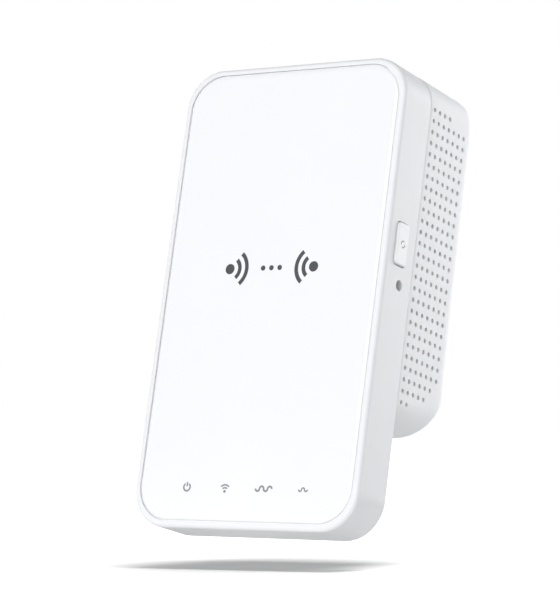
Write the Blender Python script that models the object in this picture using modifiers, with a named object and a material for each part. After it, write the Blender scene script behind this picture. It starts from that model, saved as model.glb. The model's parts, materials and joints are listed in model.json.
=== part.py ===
"""Wifi range extender for a wall outlet: housings, plug blades, buttons, boards, lights and antennas.

Lengths are millimetres, turned into metres where a mesh is made. X runs to the right as seen from
the front. Depth runs from the front panel's face towards the wall, which it meets at DEPTH. Height
is measured from the centre of the plug. In the scene, the plug's centre on the wall face is the
origin, +Y points to the wall and +Z is up.
"""

import math

import bmesh
import bpy
from mathutils import Matrix, Vector

MM = 0.001
GAP = 0.3                    # clearance kept between pieces that meet

# Outside
DEPTH = 42.6                 # front panel's face to wall face
FRONT_WIDTH = 69.3
FRONT_HEIGHT = 124.8
FRONT_Z = -14.2              # middle of the front housing
FRONT_RADIUS = 10.5          # its corners, seen from the front
RIM_RADIUS = 1.3             # rounding of its front rim
FRONT_DEPTH = 13.2           # front housing's own depth
FRONT_WALL = 2.0
RIM_INSET = 2.0              # front panel's edge, in from the outside
PANEL_RADIUS = 9.4
PANEL_THICKNESS = 1.6
FRONT_WEB = 1.5              # wall behind the panel
WEB_MIDDLE = PANEL_THICKNESS + GAP + FRONT_WEB / 2
LOWER_BACK_WALL = 1.9

REAR_WIDTH = 68.0
REAR_HEIGHT = 95.4
REAR_START = 13.5            # depth at which the rear housing begins
REAR_WALL = 2.4
REAR_EDGE_RADIUS = 8.2       # along both sides, all round
TOP_BACK_RADIUS = 9.0
BELLY_DEPTH = 22.0           # sweep of the lower back: its reach along the depth
BELLY_HEIGHT = 15.5          # and up the back
LIP = 0.3                    # step of the opening that takes the rear housing's tongue
TONGUE_START = 11.9
TONGUE_END = 15.0
TONGUE_WALL = 1.4

# Vents: every second hole of the real grid, in both directions
VENT_ROWS = 27
VENT_COLUMNS = 8
VENT_ROW_PITCH = 3.01
VENT_COLUMN_PITCH = 2.65
VENT_FIRST_Z = 38.45
VENT_FIRST_DEPTH = 16.4
VENT_HOLE = 1.3
VENT_STEP = 2
TOP_ROW_HOLES = 4
LOWEST_ROWS_HOLES = (6, 5, 2)

# Plug
BLADE_PITCH = 12.7
BLADE_THICKNESS = 1.5
BLADE_LENGTH = 17.0
NEUTRAL_WIDTH = 7.9
LIVE_WIDTH = 6.35
BLADE_TIP = 1.6              # chamfer of the tip
BLADE_HOLE_AT = 11.7
BLADE_HOLE_RADIUS = 1.6
BLADE_ROOT_END = 0.3         # up to here the blade is thinner, where it passes the housing
BLADE_ROOT_STEP = 0.1        # on each side
BLADE_HEAD = 1.6             # how far the inner head stands out above and below
BLADE_HEAD_LENGTH = 0.8
BLADE_HEAD_START = 35.8
CARRIER = (30.0, 3.0, 24.0)
CARRIER_START = 36.9

# Label on the back
LABEL = (44.0, 0.3, 18.0)
LABEL_Z = -20.0
LABEL_RADIUS = 1.2

# Buttons on the right side
BUTTON_DEPTH = 6.5           # middle of the pair button
BUTTON_Z = -0.8
BUTTON = (3.3, 5.2, 11.0)
BUTTON_PROUD = 0.6
BUTTON_CORNER = 0.9
BUTTON_EDGE = 0.4            # rounding of its outer face's edges
BUTTON_OPENING_X = 30.6      # how far in the opening also clears the wall behind the panel
FLANGE = (1.4, 5.2, 12.8)
FLANGE_DEPTH = 6.3
FLANGE_INNER_X = 30.9
PAIR_SWITCH = (4.4, 3.2, 6.0)
PAIR_SWITCH_DEPTH = 7.5
PAIR_SWITCH_X = 29.2         # the face that the plunger comes out of
PLUNGER_LENGTH = 1.0
PLUNGER_STANDOFF = 0.4       # more than the plunger's travel
RESET_DEPTH = 7.8
RESET_Z = -11.3
RESET_HOLE_RADIUS = 1.3
RESET_SWITCH = (3.6, 2.6, 4.5)
RESET_SWITCH_X = 30.6

# Main board, in the front housing
MAIN_BOARD = (63.2, 1.6, 119.0)
MAIN_BOARD_START = 9.4
MAIN_BOARD_RADIUS = 7.6
MAIN_SCREW_X = 27.0
MAIN_SCREW_Z = (40.0, -38.0)

# Cooling stack in front of the main board
SHIELD_HEIGHT = 2.5
SHIELD_WALL = 0.4
PROCESSOR_X = -4.0
RADIO_Z = 31.0
PAD = (20.0, 0.8, 20.0)
SPREADER = (44.0, 1.1, 40.0)
SPREADER_X = -2.0
COOLING_Z = 4.0

# Power board, in the rear housing
POWER_BOARD = (58.0, 1.6, 72.0)
POWER_BOARD_START = 31.0
POWER_BOARD_Z = 2.0
POWER_SCREW_X = 22.0
POWER_SCREW_Z = (32.0, -26.0)

# What stands on the power board: sizes, then side and height
POWER_BOARD_RADIUS = 3.0
TRANSFORMER_PLACE = (5.0, 9.0)
TRANSFORMER_CORE = (20.0, 9.0, 20.0)
CORE_WINDOW = (5.2, 14.0)    # its width and height
CORE_HALF_LEG = 3.0
WINDING_DEPTH = 14.0
FUSE_RADIUS = 2.0
FUSE_LENGTH = 8.5
FUSE_PLACE = (-22.5, -13.0)
DISC_RADIUS = 4.0
DISC_THICKNESS = 4.0
DISC_PLACE = (20.0, 3.0)
CHOKE_RADIUS = 4.2           # of the ring's middle line
CHOKE_THICKNESS = 3.8
CHOKE_PLACE = (-9.5, -6.5)
CONTACT_HALF_WIDTH = 2.4
CONTACT_ARM = 2.6
CONTACT_THICKNESS = 0.5
CONTACT_HEIGHT = 5.0

# Screws, the same on both boards
SCREW_HEAD_RADIUS = 2.2
SCREW_HEAD = 1.5
SCREW_RADIUS = 1.1
SCREW_LENGTH = 5.6
BOSS_RADIUS = 3.0
PILOT_RADIUS = 1.4
PILOT_DEPTH = 5.5
SCREW_HOLE_RADIUS = 1.5

# Lights along the lower front
LIGHT_NAMES = ("power", "signal", "low_band", "high_band")
LIGHT_PITCH = 12.0
LIGHT_FIRST_X = -17.7
LIGHT_Z = -66.0
PIPE_RADIUS = 1.6
PIPE_HOLE_RADIUS = 2.0
PIPE_END = 7.7
GUIDE_BAR = (39.5, 1.2, 4.0)
GUIDE_BAR_START = 4.0
SHIELD_BLOCK = (46.0, 3.6, 9.0)
SHIELD_CELL = 4.6
LED = (2.8, 1.0, 1.8)

# Antennas and their coaxial leads
ANTENNA = (22.0, 10.0, 0.8)
ANTENNA_X = 16.0
ANTENNA_DEPTH = 22.0
ANTENNA_Z = 43.2
COAX_RADIUS = 0.57
COAX_X = 12.0
COAX_PLUG_Z = 31.0
COAX_PLUG_RADIUS = 1.3
COAX_PLUG_LENGTH = 1.4

# Power leads between the boards
LEAD_RADIUS = 0.7
LEAD_X = (-16.0, -12.5)
LEAD_NAMES = ("power_lead_positive", "power_lead_negative")
SHEET = (59.0, 0.4, 80.0)
SHEET_START = 14.6
SHEET_Z = -2.0
SHEET_SLOT = (9.0, 3.0, 8.0)
SHEET_SLOT_Z = -28.5

WHITE = (0.86, 0.87, 0.88)
BOARD_GREEN = (0.02, 0.16, 0.07)
BLACK = (0.02, 0.02, 0.022)
METAL = (0.72, 0.72, 0.72)
ORIGIN = Vector((0, 0, 0))

# Name, side, height, radius and length of each round can on the power board
CANS = (
    ("bulk_capacitor_1", -15.0, 22.0, 4.0, 13.5),
    ("bulk_capacitor_2", -15.0, 10.5, 4.0, 13.5),
    ("output_capacitor", 19.0, -14.0, 4.0, 11.5),
)

# Name, size, side, height and colour of each moulded package on the power board
PACKAGES = (
    ("bridge_rectifier", (8.0, 3.0, 6.5), -19.5, -1.0, BLACK),
    ("power_controller_chip", (6.0, 1.6, 5.0), -4.0, -16.0, BLACK),
    ("optocoupler", (4.6, 3.4, 6.5), 7.0, -14.0, (0.85, 0.84, 0.8)),
    ("output_diode", (5.0, 2.4, 4.0), 19.0, 24.0, BLACK),
)


# Scene and collections

def clear_scene():
    for found in list(bpy.data.objects):
        bpy.data.objects.remove(found, do_unlink=True)


def make_collection(name, hidden):
    made = bpy.data.collections.new(name)
    made.hide_render = hidden
    bpy.context.scene.collection.children.link(made)
    return made


def make_material(name, colour, roughness, metallic):
    made = bpy.data.materials.new(name)
    made.use_nodes = True
    shader = made.node_tree.nodes["Principled BSDF"]
    shader.inputs["Base Color"].default_value = (*colour, 1.0)
    shader.inputs["Roughness"].default_value = roughness
    shader.inputs["Metallic"].default_value = metallic
    made.diffuse_color = (*colour, 1.0)
    return made


def at(x, depth, z):
    """The scene position of a point given by its side, depth and height in millimetres."""
    return Vector((x, depth - DEPTH, z)) * MM


def add_part(name, data, place, colour=WHITE, roughness=0.5, metallic=0.0):
    """A visible sub-part with its own material, at the given place."""
    made = bpy.data.objects.new(name, data)
    data.materials.append(make_material(name, colour, roughness, metallic))
    made.location = place
    made.parent = ROOT
    PARTS.objects.link(made)
    return made


def add_cutter(name, data, place):
    """A helper shape for a Boolean, which isn't a part itself."""
    made = bpy.data.objects.new(name, data)
    made.location = place
    made.hide_render = True
    made.display_type = "WIRE"
    CUTTERS.objects.link(made)
    return made


def combine(part, operation, helper):
    modifier = part.modifiers.new(helper.name, "BOOLEAN")
    modifier.operation = operation
    modifier.object = helper
    modifier.solver = "EXACT"


# Shapes, each about its own centre unless it says otherwise

def finish_mesh(name, bm, smooth=False):
    bmesh.ops.recalc_face_normals(bm, faces=bm.faces[:])
    data = bpy.data.meshes.new(name)
    bm.to_mesh(data)
    bm.free()
    if smooth:
        data.shade_smooth()
        data.set_sharp_from_angle(angle=math.radians(32))
    return data


def add_box(bm, size, centre=(0.0, 0.0, 0.0)):
    place = Matrix.Translation(Vector(centre) * MM) @ Matrix.Diagonal((*(Vector(size) * MM), 1.0))
    return bmesh.ops.create_cube(bm, size=1.0, matrix=place)["verts"]


def add_rod(bm, radius, length, centre=(0.0, 0.0, 0.0), axis="Y", sides=16):
    """A cylinder along the given axis."""
    turn = {
        "X": Matrix.Rotation(math.radians(90), 4, "Y"),
        "Y": Matrix.Rotation(math.radians(90), 4, "X"),
        "Z": Matrix.Identity(4),
    }[axis]
    place = Matrix.Translation(Vector(centre) * MM) @ turn
    bmesh.ops.create_cone(
        bm,
        cap_ends=True,
        segments=sides,
        radius1=radius * MM,
        radius2=radius * MM,
        depth=length * MM,
        matrix=place,
    )


def bevel(bm, edges, radius, segments):
    bmesh.ops.bevel(
        bm,
        geom=edges,
        offset=radius * MM,
        segments=segments,
        profile=0.5,
        affect="EDGES",
        material=-1,
        clamp_overlap=False,
    )


def add_slab(bm, points, start_x, thickness):
    """Fills a side view, given as depth and height points, and extrudes it along X."""
    face = bm.faces.new([bm.verts.new(at(start_x, depth, z)) for depth, z in points])
    swept = bmesh.ops.extrude_face_region(bm, geom=[face])["geom"]
    moved = [v for v in swept if isinstance(v, bmesh.types.BMVert)]
    bmesh.ops.translate(bm, verts=moved, vec=(thickness * MM, 0, 0))


def edges_along(bm, axis):
    """The straight edges that run along one axis, 0 to 2."""
    found = []
    for edge in bm.edges:
        run = edge.verts[1].co - edge.verts[0].co
        if abs(run[axis]) > 0.999 * run.length:
            found.append(edge)
    return found


def edges_on(bm, axis, value):
    """The edges that lie on the plane where a coordinate has this value in millimetres."""
    return [e for e in bm.edges if all(abs(v.co[axis] - value * MM) < 1e-6 for v in e.verts)]


def box(name, size, edge=0.0, segments=2):
    """A box with all its edges rounded where edge is above zero."""
    bm = bmesh.new()
    add_box(bm, size)
    if edge:
        bevel(bm, bm.edges[:], edge, segments)
    return finish_mesh(name, bm, smooth=edge > 0)


def rounded_prism(size, radius, segments=6):
    """A block whose four edges along the depth are rounded."""
    bm = bmesh.new()
    add_box(bm, size)
    bevel(bm, edges_along(bm, 1), radius, segments)
    return bm


def rod(name, radius, length, axis="Y", sides=16, edge=0.0):
    bm = bmesh.new()
    add_rod(bm, radius, length, axis=axis, sides=sides)
    if edge:
        rims = [e for e in bm.edges if any(len(f.verts) > 4 for f in e.link_faces)]
        bevel(bm, rims, edge, 2)
    return finish_mesh(name, bm, smooth=True)


def rods(name, radius, length, places, sides=16):
    """Cylinders along the depth, centred on the given places, as one helper shape."""
    bm = bmesh.new()
    for place in places:
        add_rod(bm, radius, length, place, sides=sides)
    return finish_mesh(name, bm)


def flat_outline(name, points, thickness):
    """A flat closed curve through points, filled and extruded about its plane."""
    curve = bpy.data.curves.new(name, "CURVE")
    curve.dimensions = "2D"
    curve.fill_mode = "BOTH"
    curve.extrude = thickness * MM / 2
    spline = curve.splines.new("POLY")
    spline.points.add(len(points) - 1)
    spline.use_cyclic_u = True
    for point, (u, v) in zip(spline.points, points):
        point.co = (u * MM, v * MM, 0.0, 1.0)
    return curve


def arc(centre, radii, start, end, steps):
    """Points on an elliptical arc between two angles in degrees."""
    found = []
    for step in range(steps + 1):
        angle = math.radians(start + (end - start) * step / steps)
        found.append((centre[0] + radii[0] * math.cos(angle), centre[1] + radii[1] * math.sin(angle)))
    return found


def smooth_route(knots, spacing):
    """Points along a Catmull-Rom curve through the knots, about one spacing apart."""
    ends = [knots[0] * 2 - knots[1], *knots, knots[-1] * 2 - knots[-2]]
    found = []
    for a, b, c, d in zip(ends, ends[1:], ends[2:], ends[3:]):
        steps = max(1, round((c - b).length / spacing))
        for step in range(steps):
            t = step / steps
            bend = 2 * a - 5 * b + 4 * c - d
            twist = 3 * b - a - 3 * c + d
            found.append((2 * b + (c - a) * t + bend * t**2 + twist * t**3) / 2)
    found.append(knots[-1])
    return found


def tube(name, knots, radius):
    """A round lead along a smooth route through scene positions."""
    curve = bpy.data.curves.new(name, "CURVE")
    curve.dimensions = "3D"
    curve.bevel_depth = radius * MM
    curve.bevel_resolution = 2
    curve.use_fill_caps = True
    points = smooth_route(knots, 5 * radius * MM)
    spline = curve.splines.new("POLY")
    spline.points.add(len(points) - 1)
    for point, place in zip(spline.points, points):
        point.co = (*place, 1.0)
    return curve


def turned(part, steps):
    """Spins a profile mesh about its own Z axis."""
    screw = part.modifiers.new("turn", "SCREW")
    screw.axis = "Z"
    screw.steps = steps
    screw.render_steps = steps
    screw.use_merge_vertices = True
    screw.merge_threshold = 0.00001


# Housings

def front_panel():
    size = (FRONT_WIDTH - 2 * RIM_INSET, PANEL_THICKNESS, FRONT_HEIGHT - 2 * RIM_INSET)
    bm = rounded_prism(size, PANEL_RADIUS)
    bevel(bm, edges_on(bm, 1, -PANEL_THICKNESS / 2), GAP, 1)
    place = at(0, PANEL_THICKNESS / 2, FRONT_Z)
    add_part("front_panel", finish_mesh("front_panel", bm, True), place, (0.93, 0.94, 0.95), 0.12)


def front_housing():
    bm = rounded_prism((FRONT_WIDTH, FRONT_DEPTH, FRONT_HEIGHT), FRONT_RADIUS, 8)
    bevel(bm, edges_on(bm, 1, -FRONT_DEPTH / 2), RIM_RADIUS, 3)
    place = at(0, FRONT_DEPTH / 2, FRONT_Z)
    part = add_part("front_housing", finish_mesh("front_housing", bm, True), place, WHITE, 0.4)
    for helper in front_hollows():
        combine(part, "DIFFERENCE", helper)
    combine(part, "UNION", main_board_bosses())
    for helper in front_openings():
        combine(part, "DIFFERENCE", helper)


def front_hollows():
    """The panel's recess, the room for the board, and the opening to the rear housing."""
    recess_inset = RIM_INSET - GAP
    recess_depth = PANEL_THICKNESS + GAP
    recess = (FRONT_WIDTH - 2 * recess_inset, recess_depth + 1, FRONT_HEIGHT - 2 * recess_inset)
    recess_place = at(0, (recess_depth - 1) / 2, FRONT_Z)
    room_start = recess_depth + FRONT_WEB
    room_end = FRONT_DEPTH - LOWER_BACK_WALL
    room = (FRONT_WIDTH - 2 * FRONT_WALL, room_end - room_start, FRONT_HEIGHT - 2 * FRONT_WALL)
    room_place = at(0, (room_start + room_end) / 2, FRONT_Z)
    opening_top = FRONT_Z + FRONT_HEIGHT / 2 - FRONT_WALL - LIP
    opening = (room[0] - 2 * LIP, LOWER_BACK_WALL + 2, 2 * opening_top)
    opening_place = at(0, FRONT_DEPTH - LOWER_BACK_WALL / 2, 0)
    return (
        add_cutter("panel_recess", prism("panel_recess", recess, PANEL_RADIUS + GAP), recess_place),
        add_cutter("board_room", prism("board_room", room, FRONT_RADIUS - FRONT_WALL), room_place),
        add_cutter("rear_opening", prism("rear_opening", opening, tongue_radius() + GAP), opening_place),
    )


def prism(name, size, radius):
    return finish_mesh(name, rounded_prism(size, radius))


def tongue_radius():
    return REAR_EDGE_RADIUS - REAR_WALL


def main_board_bosses():
    web_end = PANEL_THICKNESS + GAP + FRONT_WEB
    start = web_end - FRONT_WEB / 2
    end = MAIN_BOARD_START - GAP
    places = [(x, 0, z) for x in (-MAIN_SCREW_X, MAIN_SCREW_X) for z in MAIN_SCREW_Z]
    return add_cutter(
        "main_board_bosses",
        rods("main_board_bosses", BOSS_RADIUS, end - start, places),
        at(0, (start + end) / 2, 0),
    )


def front_openings():
    """Holes for the pair button, the reset pin, the light pipes and the board's screws."""
    side = FRONT_WIDTH / 2
    button = (side + 1 - BUTTON_OPENING_X, BUTTON[1] + 2 * GAP, BUTTON[2] + 2 * GAP)
    button_cut = prism_x("button_opening", button, BUTTON_CORNER + GAP)
    button_place = at((side + 1 + BUTTON_OPENING_X) / 2, BUTTON_DEPTH, BUTTON_Z)
    pipe_places = [(light_x(index), 0, LIGHT_Z) for index in range(len(LIGHT_NAMES))]
    screw_places = [(x, 0, z) for x in (-MAIN_SCREW_X, MAIN_SCREW_X) for z in MAIN_SCREW_Z]
    pilot_end = MAIN_BOARD_START + 1
    pilot_start = MAIN_BOARD_START - GAP - PILOT_DEPTH
    return (
        add_cutter("button_opening", button_cut, button_place),
        add_cutter(
            "reset_hole",
            rod("reset_hole", RESET_HOLE_RADIUS, 2 * FRONT_WALL + 1, "X"),
            at(side, RESET_DEPTH, RESET_Z),
        ),
        add_cutter("pipe_holes", rods("pipe_holes", PIPE_HOLE_RADIUS, 4, pipe_places), at(0, WEB_MIDDLE, 0)),
        add_cutter(
            "main_board_pilots",
            rods("main_board_pilots", PILOT_RADIUS, pilot_end - pilot_start, screw_places, 12),
            at(0, (pilot_start + pilot_end) / 2, 0),
        ),
    )


def prism_x(name, size, radius, segments=3):
    """A block whose four edges along X are rounded."""
    bm = bmesh.new()
    add_box(bm, size)
    bevel(bm, edges_along(bm, 0), radius, segments)
    return finish_mesh(name, bm)


def side_outline():
    """Depth and height points of the rear housing's side view, from the top front to the bottom front."""
    top = REAR_HEIGHT / 2
    front = REAR_START - 2 * REAR_EDGE_RADIUS
    upper_centre = (DEPTH - TOP_BACK_RADIUS, top - TOP_BACK_RADIUS)
    upper = arc(upper_centre, (TOP_BACK_RADIUS, TOP_BACK_RADIUS), 90, 0, 5)
    belly = arc((DEPTH - BELLY_DEPTH, BELLY_HEIGHT - top), (BELLY_DEPTH, BELLY_HEIGHT), 0, -90, 9)
    return [(front, top), *upper, *belly, (front, -top)]


def rear_housing():
    bm = bmesh.new()
    side = REAR_WIDTH / 2
    add_slab(bm, side_outline(), -side, REAR_WIDTH)
    bmesh.ops.recalc_face_normals(bm, faces=bm.faces[:])
    rims = edges_on(bm, 0, -side) + edges_on(bm, 0, side)
    bevel(bm, rims, REAR_EDGE_RADIUS, 5)
    bmesh.ops.bisect_plane(
        bm,
        geom=bm.verts[:] + bm.edges[:] + bm.faces[:],
        plane_co=at(0, REAR_START, 0),
        plane_no=(0, 1, 0),
        clear_inner=True,
    )
    part = add_part("rear_housing", finish_mesh("rear_housing", bm, True), ORIGIN, WHITE, 0.45)
    shell = part.modifiers.new("wall", "SOLIDIFY")
    shell.thickness = REAR_WALL * MM
    shell.offset = -1
    shell.use_even_offset = True
    combine(part, "UNION", tongue())
    combine(part, "UNION", power_board_bosses())
    for helper in rear_openings():
        combine(part, "DIFFERENCE", helper)


def tongue():
    """The ring that reaches from the rear housing into the front one."""
    inset = FRONT_WALL + LIP + GAP
    top = FRONT_Z + FRONT_HEIGHT / 2 - inset
    outer = (FRONT_WIDTH - 2 * inset, TONGUE_END - TONGUE_START, 2 * top)
    bm = rounded_prism(outer, tongue_radius())
    caps = [f for f in bm.faces if abs(f.normal.y) > 0.9]
    bmesh.ops.delete(bm, geom=caps, context="FACES_ONLY")
    made = add_cutter("tongue", finish_mesh("tongue", bm), at(0, (TONGUE_START + TONGUE_END) / 2, 0))
    ring = made.modifiers.new("wall", "SOLIDIFY")
    ring.thickness = TONGUE_WALL * MM
    ring.offset = -1
    ring.use_even_offset = True
    return made


def power_board_bosses():
    start = POWER_BOARD_START + POWER_BOARD[1] + GAP
    end = DEPTH - REAR_WALL / 2
    places = [(x, 0, z) for x in (-POWER_SCREW_X, POWER_SCREW_X) for z in POWER_SCREW_Z]
    return add_cutter(
        "power_board_bosses",
        rods("power_board_bosses", BOSS_RADIUS, end - start, places),
        at(0, (start + end) / 2, 0),
    )


def rear_openings():
    """Holes for the power board's screws, the plug blades, the label's recess and the vents."""
    places = [(x, 0, z) for x in (-POWER_SCREW_X, POWER_SCREW_X) for z in POWER_SCREW_Z]
    pilot_start = POWER_BOARD_START + POWER_BOARD[1] - 1
    pilot_end = POWER_BOARD_START + POWER_BOARD[1] + GAP + PILOT_DEPTH
    pilots = rods("power_board_pilots", PILOT_RADIUS, pilot_end - pilot_start, places, 12)
    recess = (LABEL[0] + 2 * GAP, 2 * (LABEL[1] + GAP), LABEL[2] + 2 * GAP)
    recess_radius = LABEL_RADIUS + GAP
    wall_middle = at(0, DEPTH - REAR_WALL / 2, 0)
    return (
        add_cutter("power_board_pilots", pilots, at(0, (pilot_start + pilot_end) / 2, 0)),
        add_cutter("blade_slots", blade_slots("blade_slots", REAR_WALL + 2), wall_middle),
        add_cutter("label_recess", prism("label_recess", recess, recess_radius), at(0, DEPTH, LABEL_Z)),
        add_cutter("vents_left", vent_grid("vents_left"), at(-REAR_WIDTH / 2, 0, 0)),
        add_cutter("vents_right", vent_grid("vents_right"), at(REAR_WIDTH / 2, 0, 0)),
    )


def vent_holes_in(row):
    """How many holes a row of the vent grid has, counted from the top."""
    if row == 0:
        return TOP_ROW_HOLES
    from_end = row - (VENT_ROWS - len(LOWEST_ROWS_HOLES))
    return LOWEST_ROWS_HOLES[from_end] if from_end >= 0 else VENT_COLUMNS


def vent_grid(name):
    bm = bmesh.new()
    for row in range(0, VENT_ROWS, VENT_STEP):
        for column in range(0, vent_holes_in(row), VENT_STEP):
            depth = VENT_FIRST_DEPTH + column * VENT_COLUMN_PITCH
            z = VENT_FIRST_Z - row * VENT_ROW_PITCH
            add_box(bm, (3 * REAR_WALL, VENT_HOLE, VENT_HOLE), (0, depth, z))
    return finish_mesh(name, bm)


def rating_label():
    place = at(0, DEPTH - LABEL[1] / 2, LABEL_Z)
    add_part("rating_label", prism("rating_label", LABEL, LABEL_RADIUS), place, (0.78, 0.79, 0.8), 0.6)


# Plug

def blade_slots(name, depth):
    """Two through slots with room for the blades, as one helper shape."""
    bm = bmesh.new()
    for side, width in ((-1, NEUTRAL_WIDTH), (1, LIVE_WIDTH)):
        size = (BLADE_THICKNESS + 2 * GAP, depth, width + 2 * GAP)
        add_box(bm, size, (side * BLADE_PITCH / 2, 0, 0))
    return finish_mesh(name, bm)


def blade(name, side, width):
    """A flat blade with a head behind the carrier, a hole and a chamfered tip."""
    half = width / 2
    head = BLADE_HEAD_START
    neck = head + BLADE_HEAD_LENGTH
    tip = DEPTH + BLADE_LENGTH
    lower = [
        (head, -half - BLADE_HEAD),
        (neck, -half - BLADE_HEAD),
        (neck, -half),
        (tip - BLADE_TIP, -half),
        (tip, -half + BLADE_TIP),
    ]
    upper = [(depth, -z) for depth, z in reversed(lower)]
    middle = side * BLADE_PITCH / 2
    bm = bmesh.new()
    add_slab(bm, lower + upper, middle - BLADE_THICKNESS / 2, BLADE_THICKNESS)
    part = add_part(name, finish_mesh(name, bm), ORIGIN, (0.8, 0.78, 0.72), 0.25, 1.0)
    hole = rod(name + "_hole", BLADE_HOLE_RADIUS, 2 * BLADE_THICKNESS, "X")
    hole_place = at(middle, DEPTH + BLADE_HOLE_AT, 0)
    combine(part, "DIFFERENCE", add_cutter(name + "_hole", hole, hole_place))
    combine(part, "DIFFERENCE", blade_root_step(name + "_root", middle))


def blade_root_step(name, middle):
    """Two blocks that leave the blade thinner where it is inside the housing."""
    bm = bmesh.new()
    start = BLADE_HEAD_START - 1
    end = DEPTH + BLADE_ROOT_END
    inner = BLADE_THICKNESS / 2 - BLADE_ROOT_STEP
    for face in (-1, 1):
        add_box(bm, (1.0, end - start, 2 * NEUTRAL_WIDTH), (face * (inner + 0.5), 0, 0))
    return add_cutter(name, finish_mesh(name, bm), at(middle, (start + end) / 2, 0))


def blade_carrier():
    place = at(0, CARRIER_START + CARRIER[1] / 2, 0)
    part = add_part("blade_carrier", prism("blade_carrier", CARRIER, 2.0), place, BLACK, 0.6)
    slots = add_cutter("carrier_slots", blade_slots("carrier_slots", CARRIER[1] + 2), place)
    combine(part, "DIFFERENCE", slots)


def blade_contact(name, side):
    """A folded strip on the power board, facing the blade's head."""
    half = CONTACT_HALF_WIDTH
    inner = half - CONTACT_THICKNESS
    start = POWER_BOARD_START + POWER_BOARD[1] + GAP - DEPTH
    floor = start + CONTACT_THICKNESS
    end = start + CONTACT_ARM
    outline = [(-half, start), (half, start), (half, end), (inner, end)]
    outline += [(inner, floor), (-inner, floor), (-inner, end), (-half, end)]
    curve = flat_outline(name, outline, CONTACT_HEIGHT)
    place = Vector((side * BLADE_PITCH / 2 * MM, 0, 0))
    add_part(name, curve, place, (0.75, 0.55, 0.25), 0.3, 1.0)


# Buttons and switches

def pair_button():
    """A cap through the side wall with a wider flange behind the wall, moving along X."""
    bm = bmesh.new()
    outer = FRONT_WIDTH / 2 + BUTTON_PROUD
    add_box(bm, BUTTON)
    bevel(bm, edges_along(bm, 0), BUTTON_CORNER, 3)
    bevel(bm, edges_on(bm, 0, BUTTON[0] / 2), BUTTON_EDGE, 2)
    place = at(outer - BUTTON[0] / 2, BUTTON_DEPTH, BUTTON_Z)
    part = add_part("pair_button", finish_mesh("pair_button", bm, True), place)
    flange_place = at(FLANGE_INNER_X + FLANGE[0] / 2, FLANGE_DEPTH, BUTTON_Z)
    combine(part, "UNION", add_cutter("button_flange", box("button_flange", FLANGE), flange_place))


def side_switch(name, size, face_x, depth, z, plunger_radius):
    """A switch body at the board's right edge and the plunger that comes out of it along X."""
    body_place = at(face_x - size[0] / 2, depth, z)
    add_part(name + "_body", box(name + "_body", size), body_place, BLACK, 0.5)
    plunger = rod(name + "_plunger", plunger_radius, PLUNGER_LENGTH, "X")
    plunger_place = at(face_x + PLUNGER_STANDOFF + PLUNGER_LENGTH / 2, depth, z)
    add_part(name + "_plunger", plunger, plunger_place, (0.08, 0.08, 0.08), 0.5)


# Boards and what is on them

def board(name, size, start, z, radius, holes):
    depth = start + size[1] / 2
    part = add_part(name, prism(name, size, radius), at(0, depth, z), BOARD_GREEN, 0.45)
    places = [(x, 0, hole_z) for x in (-holes[0], holes[0]) for hole_z in holes[1]]
    cutter = rods(name + "_holes", SCREW_HOLE_RADIUS, size[1] + 2, places, 12)
    combine(part, "DIFFERENCE", add_cutter(name + "_holes", cutter, at(0, depth, 0)))


def screw(name, x, z, head_depth, towards_wall):
    """A pan-head screw along the depth: head_depth is where the underside of its head rests."""
    profile = [
        (0.0, SCREW_HEAD),
        (0.6 * SCREW_HEAD_RADIUS, SCREW_HEAD),
        (SCREW_HEAD_RADIUS, 0.55 * SCREW_HEAD),
        (SCREW_HEAD_RADIUS, 0.0),
        (SCREW_RADIUS, 0.0),
        (SCREW_RADIUS, -SCREW_LENGTH + 0.8),
        (0.0, -SCREW_LENGTH),
    ]
    bm = bmesh.new()
    points = [bm.verts.new((r * MM, 0, height * MM)) for r, height in profile]
    for above, below in zip(points, points[1:]):
        bm.edges.new((above, below))
    data = bpy.data.meshes.new(name)
    bm.to_mesh(data)
    bm.free()
    part = add_part(name, data, at(x, head_depth, z), METAL, 0.3, 1.0)
    part.rotation_euler = (math.radians(90 if towards_wall else -90), 0, 0)
    turned(part, 12)


def screws(name, xs, zs, head_depth, towards_wall):
    index = 1
    for x in xs:
        for z in zs:
            screw(f"{name}_{index}", x, z, head_depth, towards_wall)
            index += 1


def on_main_board(name, size, x, z, colour=BLACK, roughness=0.5, metallic=0.0, edge=0.0):
    """A part that stands on the main board's front face."""
    place = at(x, MAIN_BOARD_START - GAP - size[1] / 2, z)
    return add_part(name, box(name, size, edge), place, colour, roughness, metallic)


def shield_can(name, size, x, z):
    """A thin metal lid, open towards the board."""
    part = on_main_board(name, size, x, z, METAL, 0.35, 1.0)
    inner = (size[0] - 2 * SHIELD_WALL, size[1], size[2] - 2 * SHIELD_WALL)
    place = at(x, MAIN_BOARD_START - GAP - size[1] / 2 + SHIELD_WALL, z)
    combine(part, "DIFFERENCE", add_cutter(name + "_inside", box(name + "_inside", inner), place))


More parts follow.
